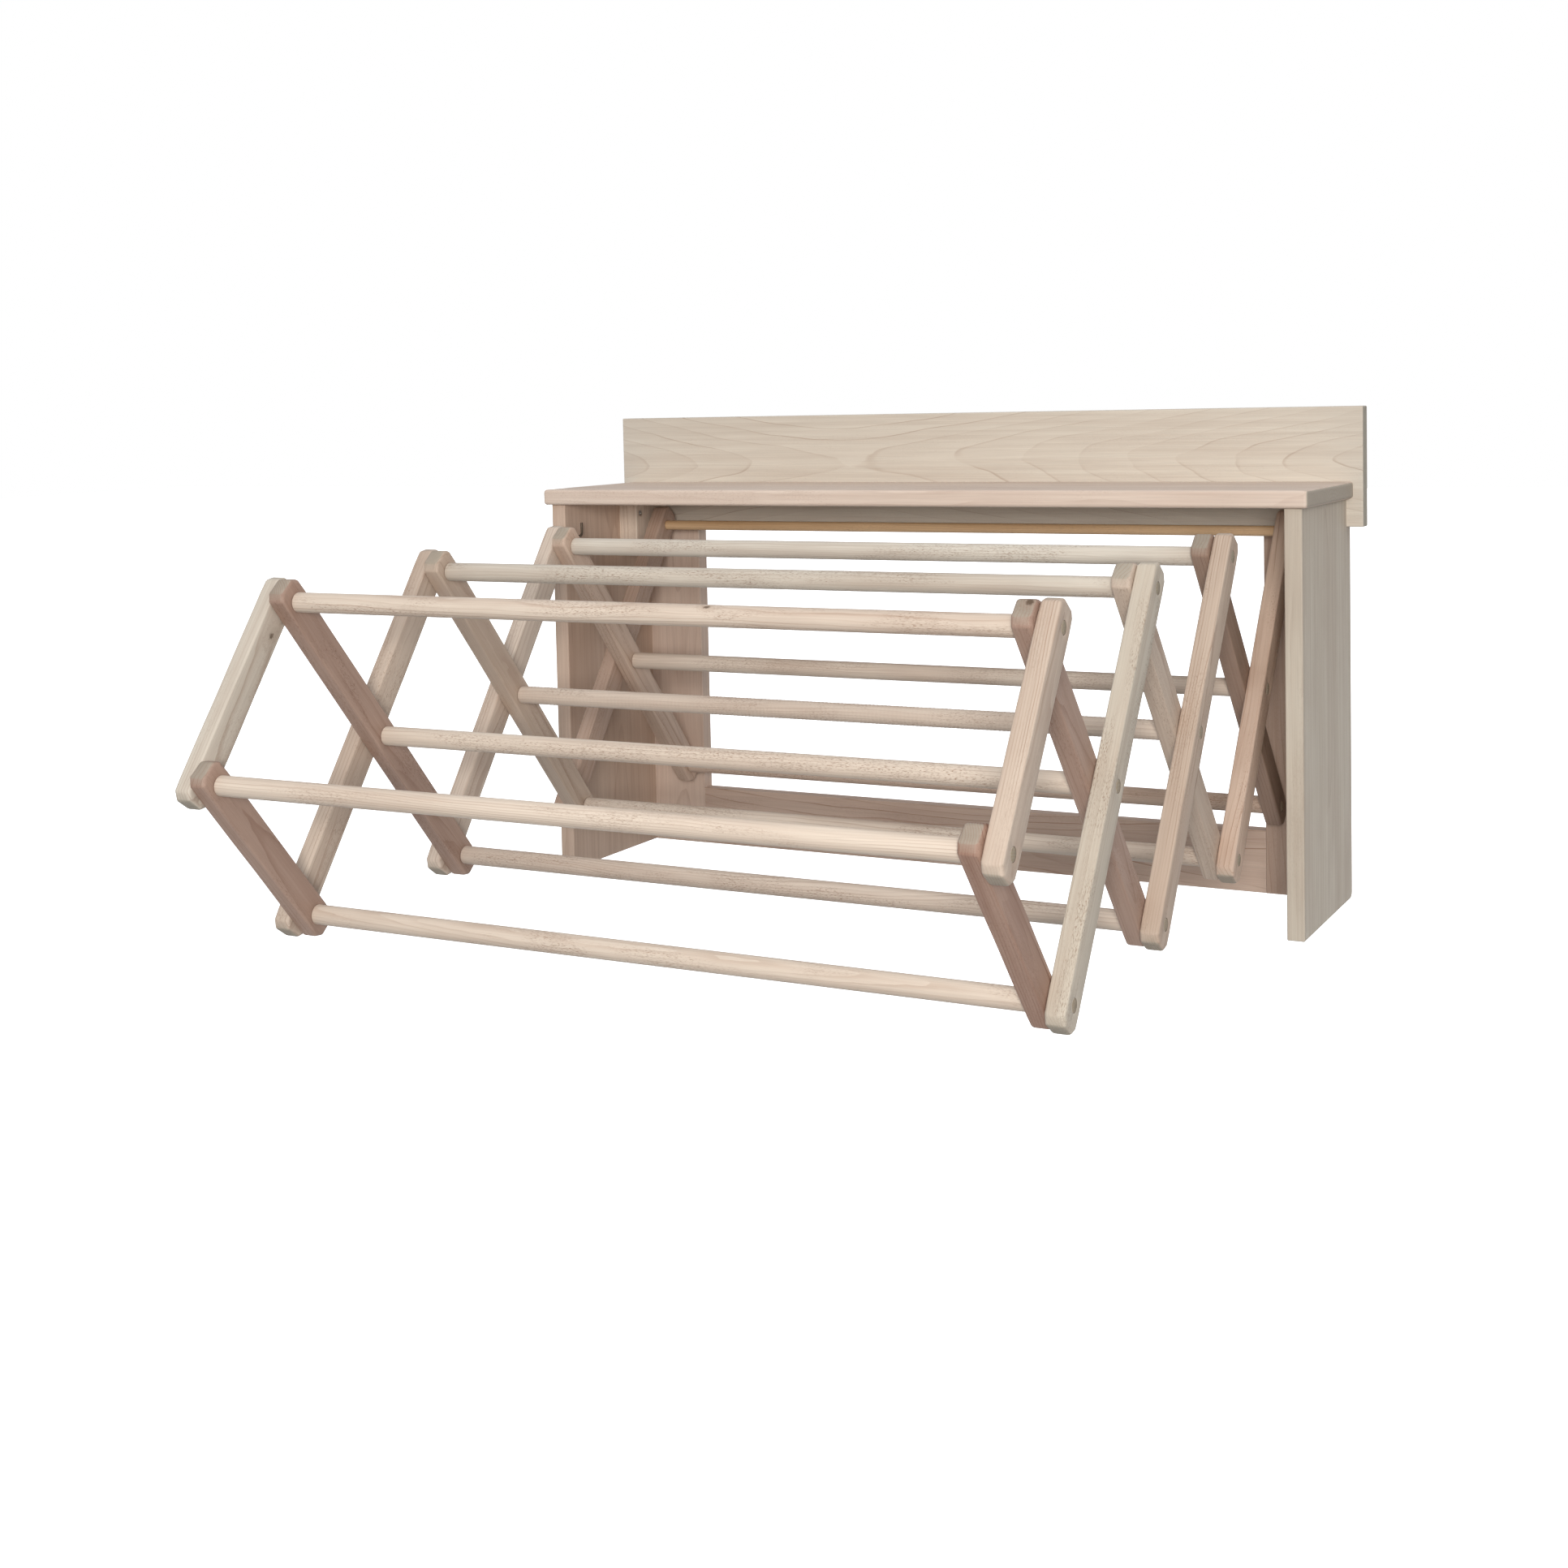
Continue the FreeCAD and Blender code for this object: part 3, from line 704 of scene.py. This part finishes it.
def body_stations(shoulder, ease, step, radius):
    """Stations from the middle of a rod to just inside its shoulder."""
    end = shoulder - ease - 0.004
    count = max(2, round(end / step))
    stations = [(end * (index + 0.5) / (count + 0.5), radius, 1.0) for index in range(count + 1)]
    return stations + [(shoulder - ease - 0.002, radius, 0.3)]


def rod_profile(node, ease, tenon_ease, step):
    """Radii of a rod with a rounded shoulder and a chamfered tenon at each end."""
    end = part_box(node)[1].x
    radius = ROD_DIAMETER / 2
    tenon = TENON_DIAMETER / 2
    shoulder = end - SHOULDER_TO_END[node]
    stations = body_stations(shoulder, ease, step, radius)
    for part in range(ARC_STEPS + 1):
        angle = math.pi / 2 * part / ARC_STEPS
        x = shoulder - ease + ease * math.sin(angle)
        stations.append((x, radius - ease + ease * math.cos(angle), 0.0))
    stations.append((shoulder, tenon + 0.0002, 0.0))
    stations.append((shoulder + 0.0002, tenon, 0.0))
    stations.append((end - tenon_ease, tenon, 0.0))
    stations.append((end - tenon_ease * 0.35, tenon - tenon_ease * 0.35, 0.0))
    stations.append((end, tenon - tenon_ease, 0.0))
    return mirrored(stations)


def shoulder_to_end(node):
    """How long a rod's tenon is, from the frame: the thick part ends at the inner slat's inner face."""
    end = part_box(node)[1].x
    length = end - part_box("inner_slat_1_right")[0].x
    through_outer_slat = end >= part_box("outer_slat_1_right")[0].x
    return length + SHOULDER_GAP if through_outer_slat else length


SHOULDER_GAP = 0.0002
ROD_NODES = ([f"top_rod_{n}" for n in range(1, CELLS + 1)]
             + [f"middle_rod_{n}" for n in range(1, CELLS + 2)]
             + [f"bottom_rod_{n}" for n in range(CELLS + 1)])
SHOULDER_TO_END = {node: shoulder_to_end(node) for node in ROD_NODES}


def screw_tree():
    """Puts a countersunk cross-recess wood screw on every point, aimed along the point's direction."""
    tree, start = geometry_tree("wood_screws", {
        "Length": 0.033, "Head radius": 0.0042, "Head height": 0.0026, "Shank radius": 0.002,
        "Thread pitch": 0.0018, "Recess depth": 0.0016, "Recess width": 0.0010, "Seed": 5,
        "Material": "Material"})
    core = times(start["Shank radius"], 0.74)
    head = add_node(tree, "GeometryNodeMeshCone", {
        "Vertices": 40, "Side Segments": 3, "Fill Segments": 2, "Radius Top": core,
        "Radius Bottom": start["Head radius"], "Depth": start["Head height"]}).outputs["Mesh"]
    arm = times(start["Head radius"], 1.2)
    bars = []
    for long_axis in (0, 1):
        sizes = [start["Recess width"]] * 2 + [times(start["Recess depth"], 2.0)]
        sizes[long_axis] = arm
        size = add_node(tree, "ShaderNodeCombineXYZ", dict(enumerate(sizes))).outputs[0]
        bars.append(add_node(tree, "GeometryNodeMeshCube", {"Size": size}).outputs["Mesh"])
    recessed = tree.nodes.new("GeometryNodeMeshBoolean")
    recessed.operation = "DIFFERENCE"
    feed(recessed.inputs["Mesh 1"], head)
    for bar in bars:
        feed(recessed.inputs["Mesh 2"], bar)
    shank_length = minus(start["Length"], start["Head height"])
    shank = add_node(tree, "GeometryNodeMeshCone", {
        "Vertices": 24, "Side Segments": 1, "Radius Top": times(core, 0.12),
        "Radius Bottom": core, "Depth": times(start["Shank radius"], 2.0)}).outputs["Mesh"]
    straight = minus(shank_length, times(start["Shank radius"], 2.0))
    rod = add_node(tree, "GeometryNodeMeshCylinder", {
        "Vertices": 24, "Radius": core, "Depth": straight}).outputs["Mesh"]
    rod_middle = times_plus(straight, 0.5, start["Head height"])
    tip_start = plus(straight, start["Head height"])
    rod = moved_up(rod, rod_middle)
    shank = moved_up(shank, tip_start)
    turns = over(times(straight, 0.9), start["Thread pitch"])
    helix = add_node(tree, "GeometryNodeCurveSpiral", {
        "Resolution": 20, "Rotations": turns, "Start Radius": core, "End Radius": core,
        "Height": times(straight, 0.9)}).outputs[0]
    ridge = add_node(tree, "GeometryNodeCurvePrimitiveCircle", {
        "Resolution": 4, "Radius": times(start["Shank radius"], 0.25)}).outputs[0]
    thread = add_node(tree, "GeometryNodeCurveToMesh", {
        "Curve": helix, "Profile Curve": ridge, "Fill Caps": True}).outputs[0]
    thread = moved_up(thread, times_plus(straight, 0.08, start["Head height"]))
    whole = tree.nodes.new("GeometryNodeJoinGeometry")
    for part in (recessed.outputs[0], rod, shank, thread):
        feed(whole.inputs[0], part)
    aim = stored(tree, "aim", "FLOAT_VECTOR")
    turned = add_node(tree, "FunctionNodeAlignRotationToVector", {"Vector": aim}, axis="Z").outputs[0]
    placed = add_node(tree, "GeometryNodeInstanceOnPoints", {
        "Points": start["Geometry"], "Instance": whole.outputs[0], "Rotation": turned}).outputs[0]
    spin = add_node(tree, "FunctionNodeRandomValue", {"Seed": start["Seed"]}, data_type="FLOAT")
    spin.inputs[3].default_value = math.tau
    spun_by = add_node(tree, "ShaderNodeCombineXYZ", {2: spin.outputs[1]}).outputs[0]
    spun = add_node(tree, "GeometryNodeRotateInstances", {
        "Instances": placed, "Rotation": spun_by, "Local Space": True}).outputs[0]
    close_tree(tree, spun, start["Material"])
    return tree


def moved_up(mesh, height):
    tree = tree_of(mesh)
    lift = add_node(tree, "ShaderNodeCombineXYZ", {2: height}).outputs[0]
    return add_node(tree, "GeometryNodeTransform", {"Geometry": mesh, "Translation": lift}).outputs[0]


# Operators: one for each group of like pieces
def seeded(label):
    return random.Random(label)


FIGURE_INPUTS = ("ring_width", "pith_depth", "taper", "line_amount", "blotches", "flecks", "tone")
# The last column's tint is partly each board's own colour and partly painted light and shade, such as bright
# on the left pivot block, which the lamps leave too dark
BOARDS = {
    # node: grain, width, then the figure's inputs above
    "top_shelf": (AXIS_X, AXIS_Y, 0.0045, 0.035, 0.02, 0.35, 0.22, 0.35, "blush"),
    "back_board": (AXIS_X, AXIS_Z, 0.0105, 0.030, 0.16, 0.6, 0.14, 0.12, "pale"),
    "bottom_rail": (AXIS_X, AXIS_Z, 0.0065, 0.030, 0.05, 1.0, 0.5, 0.3, "clay"),
    "side_panel_left": (AXIS_Z, AXIS_Y, 0.006, 0.06, 0.05, 0.25, 0.28, 0.1, "rosy"),
    "side_panel_right": (AXIS_Z, AXIS_Y, 0.006, 0.055, -0.04, 0.3, 0.45, 0.2, "grey"),
    "rear_stile_left": (AXIS_Z, AXIS_X, 0.005, 0.04, 0.06, 0.3, 0.3, 0.1, "pink"),
    "rear_stile_right": (AXIS_Z, AXIS_X, 0.005, 0.05, -0.05, 0.5, 0.45, 0.2, "brown"),
    "pivot_block_left": (AXIS_Z, AXIS_Y, 0.003, 0.03, 0.05, 0.5, 0.2, 0.2, "bright"),
    "pivot_block_right": (AXIS_Z, AXIS_Y, 0.003, 0.03, 0.05, 0.5, 0.3, 0.2, "cream"),
}
FIGURE_MIDDLE = {"back_board": (-0.15, 0.007)}      # where the back board's arches meet


class RACK_OT_boards(bpy.types.Operator):
    """Finishes the boards of the case and the pivot blocks in maple"""
    bl_idname = "rack.boards"
    bl_label = "Finish the boards"

    def execute(self, context):
        for node, (along, across, *figure) in BOARDS.items():
            axes = grain_axes(along, across)
            half = Vector(abs(value) for value in axes @ (extent(node) / 2))
            finish = maple(node + "_maple", axes, middle(node), seeded(node).uniform(1, 9), half=half,
                           pith=FIGURE_MIDDLE.get(node, (0, seeded(node).uniform(-0.01, 0.01))),
                           **dict(zip(FIGURE_INPUTS, figure)))
            paint_node(node, finish)
        return {"FINISHED"}


def paint_node(node, finish):
    """Gives a node of the frame its finish."""
    piece = frame["nodes"][node]
    if not piece.material_slots:
        raise ValueError(node + " has no material slot")
    for place in piece.material_slots:
        place.material = finish


# Each slat's tint is partly its own colour and partly painted light and shade: the darker tints also stand
# for the shade among the inner slats
SLAT_WOOD = {
    "outer_slat_1_left": dict(tone="brown"),
    "outer_slat_2_left": dict(tone="cream"),
    "outer_slat_3_left": dict(tone="fawn"),
    "outer_slat_4_left": dict(tone="pale", blotches=0.25, knot=((-0.063, 0.004, 0.008), 0.0035)),
    "inner_slat_1_left": dict(tone="rosy"),
    "inner_slat_2_left": dict(tone="tan"),
    "inner_slat_3_left": dict(tone="dark", flecks=1.0),
    "inner_slat_4_left": dict(tone="dark", line_amount=0.8),
    "outer_slat_1_right": dict(tone="rosy"),
    "outer_slat_2_right": dict(tone="tan"),
    "outer_slat_3_right": dict(tone="grey", flecks=1.0, line_amount=0.3),
    "outer_slat_4_right": dict(tone="fawn", ring_width=0.0022, line_amount=0.9, flecks=0.3),
    "inner_slat_1_right": dict(tone="deep"),
    "inner_slat_2_right": dict(tone="fawn"),
    "inner_slat_3_right": dict(tone="dark", knot=((-0.2225, 0.006, 0.004), 0.0045)),
    "inner_slat_4_right": dict(tone="russet", blotches=1.0, line_amount=1.0, ring_width=0.0026),
}


class RACK_OT_slats(bpy.types.Operator):
    """Shapes the slats: clipped ends, sanded edges and bored pivot holes"""
    bl_idname = "rack.slats"
    bl_label = "Shape the slats"

    def execute(self, context):
        for number in range(1, CELLS + 2):
            half = number > CELLS
            top_node = "upper_rear_dowel" if number == 1 else f"top_rod_{number - 1}"
            outer_ends = (top_node, f"middle_rod_{number}" if half else f"bottom_rod_{number}")
            inner_ends = (f"middle_rod_{number}" if half else f"top_rod_{number}", f"bottom_rod_{number - 1}")
            for side in SIDES:
                self.shape(context, f"outer_slat_{number}_{side}", outer_ends, 1 if half else 2)
                self.shape(context, f"inner_slat_{number}_{side}", inner_ends, 1 if half else 2)
        return {"FINISHED"}

    def shape(self, context, node, ends, crossings):
        sizes = context.scene.rack_slats
        low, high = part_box(node)
        first, last = (Vector(middle(end).yz) for end in ends)
        length = (last - first).length
        along = (last - first).normalized()
        across = Vector((-along.y, along.x))
        half = sizes.width / 2
        cut = sizes.corner_cut
        near = -sizes.end_length
        far = length + sizes.end_length
        corners = [Vector(corner) for corner in (
            (near, cut - half), (near + cut, -half), (far - cut, -half), (far, cut - half),
            (far, half - cut), (far - cut, half), (near + cut, half), (near, half - cut))]
        radius = TENON_DIAMETER / 2 + sizes.hole_gap
        holes = [(Vector((length * index / crossings, 0)), radius) for index in range(crossings + 1)]

        def to_world(spot, height):
            flat = first + along * spot.x + across * spot.y
            return (low.x + height, flat.x, flat.y)

        def softer(spot):
            beyond = max(near + 2 * cut - spot.x, spot.x - far + 2 * cut, 0) / (2 * cut)
            return 1 + sizes.end_softness * min(beyond * 1.6, 1)

        rng = seeded(node)
        outline = rounded_outline(corners, sizes.corner_radius, 0.012)
        work = eased_plate(outline, holes, high.x - low.x, sizes.edge_radius, sizes.rim_ease,
                           sizes.edge_wander, rng, to_world, softer)
        grain = Vector((0, along.x, along.y))
        width = Vector((0, across.x, across.y))
        figure = dict(ring_width=rng.uniform(0.0022, 0.0045), pith_depth=rng.uniform(0.015, 0.06),
                      taper=rng.uniform(-0.03, 0.03), line_amount=rng.uniform(0.45, 0.85),
                      blotches=rng.uniform(0.25, 0.6), flecks=rng.uniform(0.4, 0.9))
        figure.update(SLAT_WOOD[node])
        finish = maple(node + "_maple", grain_axes(grain, width), middle(node), rng.uniform(1, 9),
                       pith=(0, rng.uniform(-0.02, 0.02)), **figure)
        name = node.replace("slat", "slat_shaped")
        mesh = bpy.data.meshes.new(name)
        work.to_mesh(mesh)
        work.free()
        piece_from(mesh, name, finish, node)


ROD_STEP = 0.011            # between two rings of points along a smooth rod
DOWEL_STREAK = (0.48, 0.28, 0.13, 1)
# Rod tints are partly their own colour and partly painted light: a rod not listed takes the bright tint,
# which stands for light the lamps do not bring to it
ROD_TONES = {"bottom_rod_0": "rosy", "bottom_rod_2": "cream", "middle_rod_2": "cream", "top_rod_1": "ivory",
             "top_rod_2": "pale"}
ROD_KNOTS = {"top_rod_3": ((0.0877, -0.0055, 0.0085), 0.0024)}


class RACK_OT_rods(bpy.types.Operator):
    """Turns the rods and the upper rear dowel"""
    bl_idname = "rack.rods"
    bl_label = "Turn the rods"

    def execute(self, context):
        sizes = context.scene.rack_rods
        wood = context.scene.rack_wood
        tree = turned_rod_tree()
        axes = grain_axes(AXIS_X, AXIS_Y)
        for node in ROD_NODES:
            rng = seeded(node)
            rippled = node == sizes.rippled_rod
            step = sizes.ripple_length / 6 if rippled else ROD_STEP
            profile = rod_profile(node, sizes.shoulder_ease, sizes.tenon_ease, step)
            # The tint, bright unless listed, is partly painted light
            finish = maple(node + "_maple", axes, middle(node), rng.uniform(1, 9), relief=1.3,
                           pith=(0, rng.uniform(-0.006, 0.006)), pith_depth=rng.uniform(0.006, 0.03),
                           ring_width=rng.uniform(0.002, 0.0035), taper=rng.uniform(-0.02, 0.02),
                           line_amount=rng.uniform(0.3, 0.6), blotches=rng.uniform(0.2, 0.6),
                           flecks=rng.uniform(0.7, 1.0), tone=ROD_TONES.get(node, "bright"),
                           knot=ROD_KNOTS.get(node), end=tuple(wood.tenon_end))
            self.turn(node, tree, profile, finish, "rod_wood", rippled, rng)
        dowel = "upper_rear_dowel"
        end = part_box(dowel)[1].x
        radius = TENON_DIAMETER / 2
        stations = body_stations(end, 0.001, ROD_STEP, radius)
        stations += [(end - sizes.tenon_ease, radius, 0), (end, radius - sizes.tenon_ease, 0)]
        # Its paler colour is partly painted light
        golden = maple("golden_dowel_wood", axes, middle(dowel), 4.2, light=tuple(wood.dowel_colour_and_light),
                       dark=DOWEL_STREAK, ring_width=0.002, pith_depth=0.01, line_amount=0.4,
                       flecks=0.4, blotches=0.3)
        self.turn(dowel, tree, mirrored(stations), golden, "golden_dowel", False, seeded("dowel"))
        return {"FINISHED"}

    def turn(self, node, tree, profile, finish, slot, rippled, rng):
        sizes = bpy.context.scene.rack_rods
        centre = middle(node)
        base = turned_line(node, profile, centre.y, centre.z)
        mesh = grown(base, tree, {
            "Sides": sizes.sides, "Wander": sizes.wander, "Seed": rng.uniform(0, 50),
            "Ripple depth": sizes.ripple_depth if rippled else 0.0, "Ripple length": sizes.ripple_length,
            "Material": finish})
        piece_from(mesh, node + "_turned", finish, node)


class RACK_OT_screws(bpy.types.Operator):
    """Drives the wood screws of the case"""
    bl_idname = "rack.screws"
    bl_label = "Drive the screws"

    def execute(self, context):
        sizes = context.scene.rack_steel
        tree = screw_tree()
        zinc = steel("zinc_plate_screws", sizes.zinc, 0.24)
        sets = [("board_screws", -AXIS_Y)]
        for side, sign in SIDES.items():
            sets.append(("block_screws_" + side, AXIS_X * sign))
            sets.append(("keyhole_screws_" + side, -AXIS_Y))
        for node, direction in sets:
            places = []
            for low, high in loose_parts(node):
                centre = (low + high) / 2
                length = abs((high - low).dot(direction))
                places.append(centre - direction * length / 2)
            base = bpy.data.meshes.new(node)
            base.from_pydata(places, [], [])
            aim = base.attributes.new("aim", "FLOAT_VECTOR", "POINT")
            for index in range(len(places)):
                aim.data[index].vector = direction
            mesh = grown(base, tree, {"Length": length, "Thread pitch": sizes.thread_pitch,
                                      "Material": zinc, "Seed": len(places)})
            piece_from(mesh, node + "_threaded", zinc, node, 30)
        return {"FINISHED"}


class RACK_OT_fittings(bpy.types.Operator):
    """Finishes the wall plates, the catch hook and the hidden joining dowels"""
    bl_idname = "rack.fittings"
    bl_label = "Finish the fittings"

    def execute(self, context):
        sizes = context.scene.rack_steel
        plate = steel("zinc_plate", sizes.zinc, 0.30)
        hook = steel("bronzed_hook", sizes.bronze, 0.34)
        for side in SIDES:
            paint_node("keyhole_plate_" + side, plate)
        paint_node("catch_hook", hook)
        dowels = {"shelf_dowels": AXIS_Z, "board_dowels": AXIS_Z,
                  "stile_dowels": AXIS_X, "rail_dowels": AXIS_X}
        for node, along in dowels.items():
            finish = maple(node + "_beech", grain_axes(along, AXIS_Y), middle(node), 3.3, ring_width=0.0015,
                           pith_depth=0.01, flecks=0.8)
            paint_node(node, finish)
        return {"FINISHED"}


# Where the rack is seen from, and what lights it
EYE = Vector((1.0112, -2.40511, 0.08849))
EYE_YAW = 27.797            # degrees towards -X
EYE_PITCH = -3.402
EYE_ROLL = -1.2329
EYE_LENS = 48.453           # millimetres
EYE_SHIFT = -0.16513
EYE_SENSOR = 36.0           # millimetres
KEY_PLACE = (1.6, -3.95, 0.5)
KEY_TARGET = (0, -0.3, -0.15)
KEY_SIZE = 1.1
KEY_COLOUR = (1, 0.98, 0.95)
SKY_BELOW = (0.12, 0.12, 0.12, 1)
SKY_ABOVE = (0.97, 1, 1.03, 1)
FLOOR_REACH = 30.0


class RACK_OT_stage(bpy.types.Operator):
    """Sets the floor, the soft lights and the camera"""
    bl_idname = "rack.stage"
    bl_label = "Set the stage"

    def execute(self, context):
        settings = context.scene.rack_stage
        self.floor(settings)
        self.light("key_light", KEY_PLACE, KEY_TARGET, KEY_SIZE, settings.key_power, KEY_COLOUR)
        self.sky(context, settings)
        self.camera(context)
        context.scene.view_settings.view_transform = "Standard"
        return {"FINISHED"}

    def floor(self, settings):
        reach = FLOOR_REACH
        height = CAD_BOX[0].z - settings.floor_depth
        mesh = bpy.data.meshes.new("floor")
        mesh.from_pydata([(-reach, -reach, height), (reach, -reach, height), (reach, reach, height),
                          (-reach, reach, height)], [], [(0, 1, 2, 3)])
        pale = bpy.data.materials.new("pale_floor")
        pale.use_nodes = True
        shader = pale.node_tree.nodes["Principled BSDF"]
        shader.inputs["Base Color"].default_value = (0.93, 0.93, 0.93, 1)
        shader.inputs["Roughness"].default_value = 0.8
        shader.inputs["Emission Color"].default_value = (1, 1, 1, 1)
        shader.inputs["Emission Strength"].default_value = 0.9
        mesh.materials.append(pale)
        ground = bpy.data.objects.new("floor", mesh)
        ground.visible_diffuse = False
        bpy.context.scene.collection.objects.link(ground)

    def light(self, name, place, target, size, power, colour):
        data = bpy.data.lights.new(name, "AREA")
        data.shape = "DISK"
        data.size = size
        data.energy = power
        data.color = colour
        lamp = bpy.data.objects.new(name, data)
        lamp.location = place
        lamp.rotation_euler = (Vector(target) - Vector(place)).to_track_quat("-Z", "Y").to_euler()
        bpy.context.scene.collection.objects.link(lamp)

    def sky(self, context, settings):
        """Even light, dimmer from below, in front of a white background."""
        world = bpy.data.worlds.new("studio")
        context.scene.world = world
        world.use_nodes = True
        tree = world.node_tree
        tree.nodes.clear()
        direction = tree.nodes.new("ShaderNodeTexCoord").outputs["Generated"]
        height = add_node(tree, "ShaderNodeSeparateXYZ", {0: direction}).outputs[2]
        shade = blend_colours(ramp(height, -0.4, 0.6), SKY_BELOW, SKY_ABOVE)
        around = add_node(tree, "ShaderNodeBackground", {"Color": shade, "Strength": settings.sky})
        behind = add_node(tree, "ShaderNodeBackground", {"Color": (1, 1, 1, 1), "Strength": 1.0})
        seen = tree.nodes.new("ShaderNodeLightPath").outputs["Is Camera Ray"]
        both = tree.nodes.new("ShaderNodeMixShader")
        feed(both.inputs[0], seen)
        feed(both.inputs[1], around.outputs[0])
        feed(both.inputs[2], behind.outputs[0])
        feed(tree.nodes.new("ShaderNodeOutputWorld").inputs["Surface"], both.outputs[0])

    def camera(self, context):
        yaw, pitch, roll = (math.radians(angle) for angle in (EYE_YAW, EYE_PITCH, EYE_ROLL))
        forward = Vector((-math.sin(yaw) * math.cos(pitch), math.cos(yaw) * math.cos(pitch), math.sin(pitch)))
        level = Vector((math.cos(yaw), math.sin(yaw), 0))
        upright = level.cross(forward)
        right = level * math.cos(roll) + upright * math.sin(roll)
        up = upright * math.cos(roll) - level * math.sin(roll)
        lens = bpy.data.cameras.new("camera")
        lens.lens = EYE_LENS
        lens.sensor_width = EYE_SENSOR
        lens.shift_y = EYE_SHIFT
        camera = bpy.data.objects.new("camera", lens)
        turn = Matrix((right, up, -forward)).transposed().to_4x4()
        camera.matrix_world = Matrix.Translation(EYE) @ turn
        context.scene.collection.objects.link(camera)
        context.scene.camera = camera


OPERATORS = (RACK_OT_boards, RACK_OT_slats, RACK_OT_rods, RACK_OT_screws, RACK_OT_fittings, RACK_OT_stage)
SETTINGS = {"rack_wood": RackWood, "rack_slats": RackSlats, "rack_rods": RackRods, "rack_steel": RackSteel,
            "rack_stage": RackStage}


class RACK_PT_panel(bpy.types.Panel):
    """Lists the steps that make the drying rack"""
    bl_idname = "RACK_PT_panel"
    bl_label = "Drying rack"
    bl_space_type = "VIEW_3D"
    bl_region_type = "UI"
    bl_category = "Drying rack"

    def draw(self, context):
        for settings, group in SETTINGS.items():
            box = self.layout.box()
            for label in group.__annotations__:
                box.prop(getattr(context.scene, settings), label)
        for step in OPERATORS:
            self.layout.operator(step.bl_idname)


CLASSES = (*SETTINGS.values(), *OPERATORS, RACK_PT_panel)


def register():
    for each in CLASSES:
        bpy.utils.register_class(each)
    for name, group in SETTINGS.items():
        setattr(bpy.types.Scene, name, bpy.props.PointerProperty(type=group))


def unregister():
    for name in SETTINGS:
        delattr(bpy.types.Scene, name)
    for each in reversed(CLASSES):
        bpy.utils.unregister_class(each)


def main():
    register()
    bpy.ops.rack.boards()
    bpy.ops.rack.slats()
    bpy.ops.rack.rods()
    bpy.ops.rack.screws()
    bpy.ops.rack.fittings()
    bpy.ops.rack.stage()


if __name__ == "__main__":
    main()
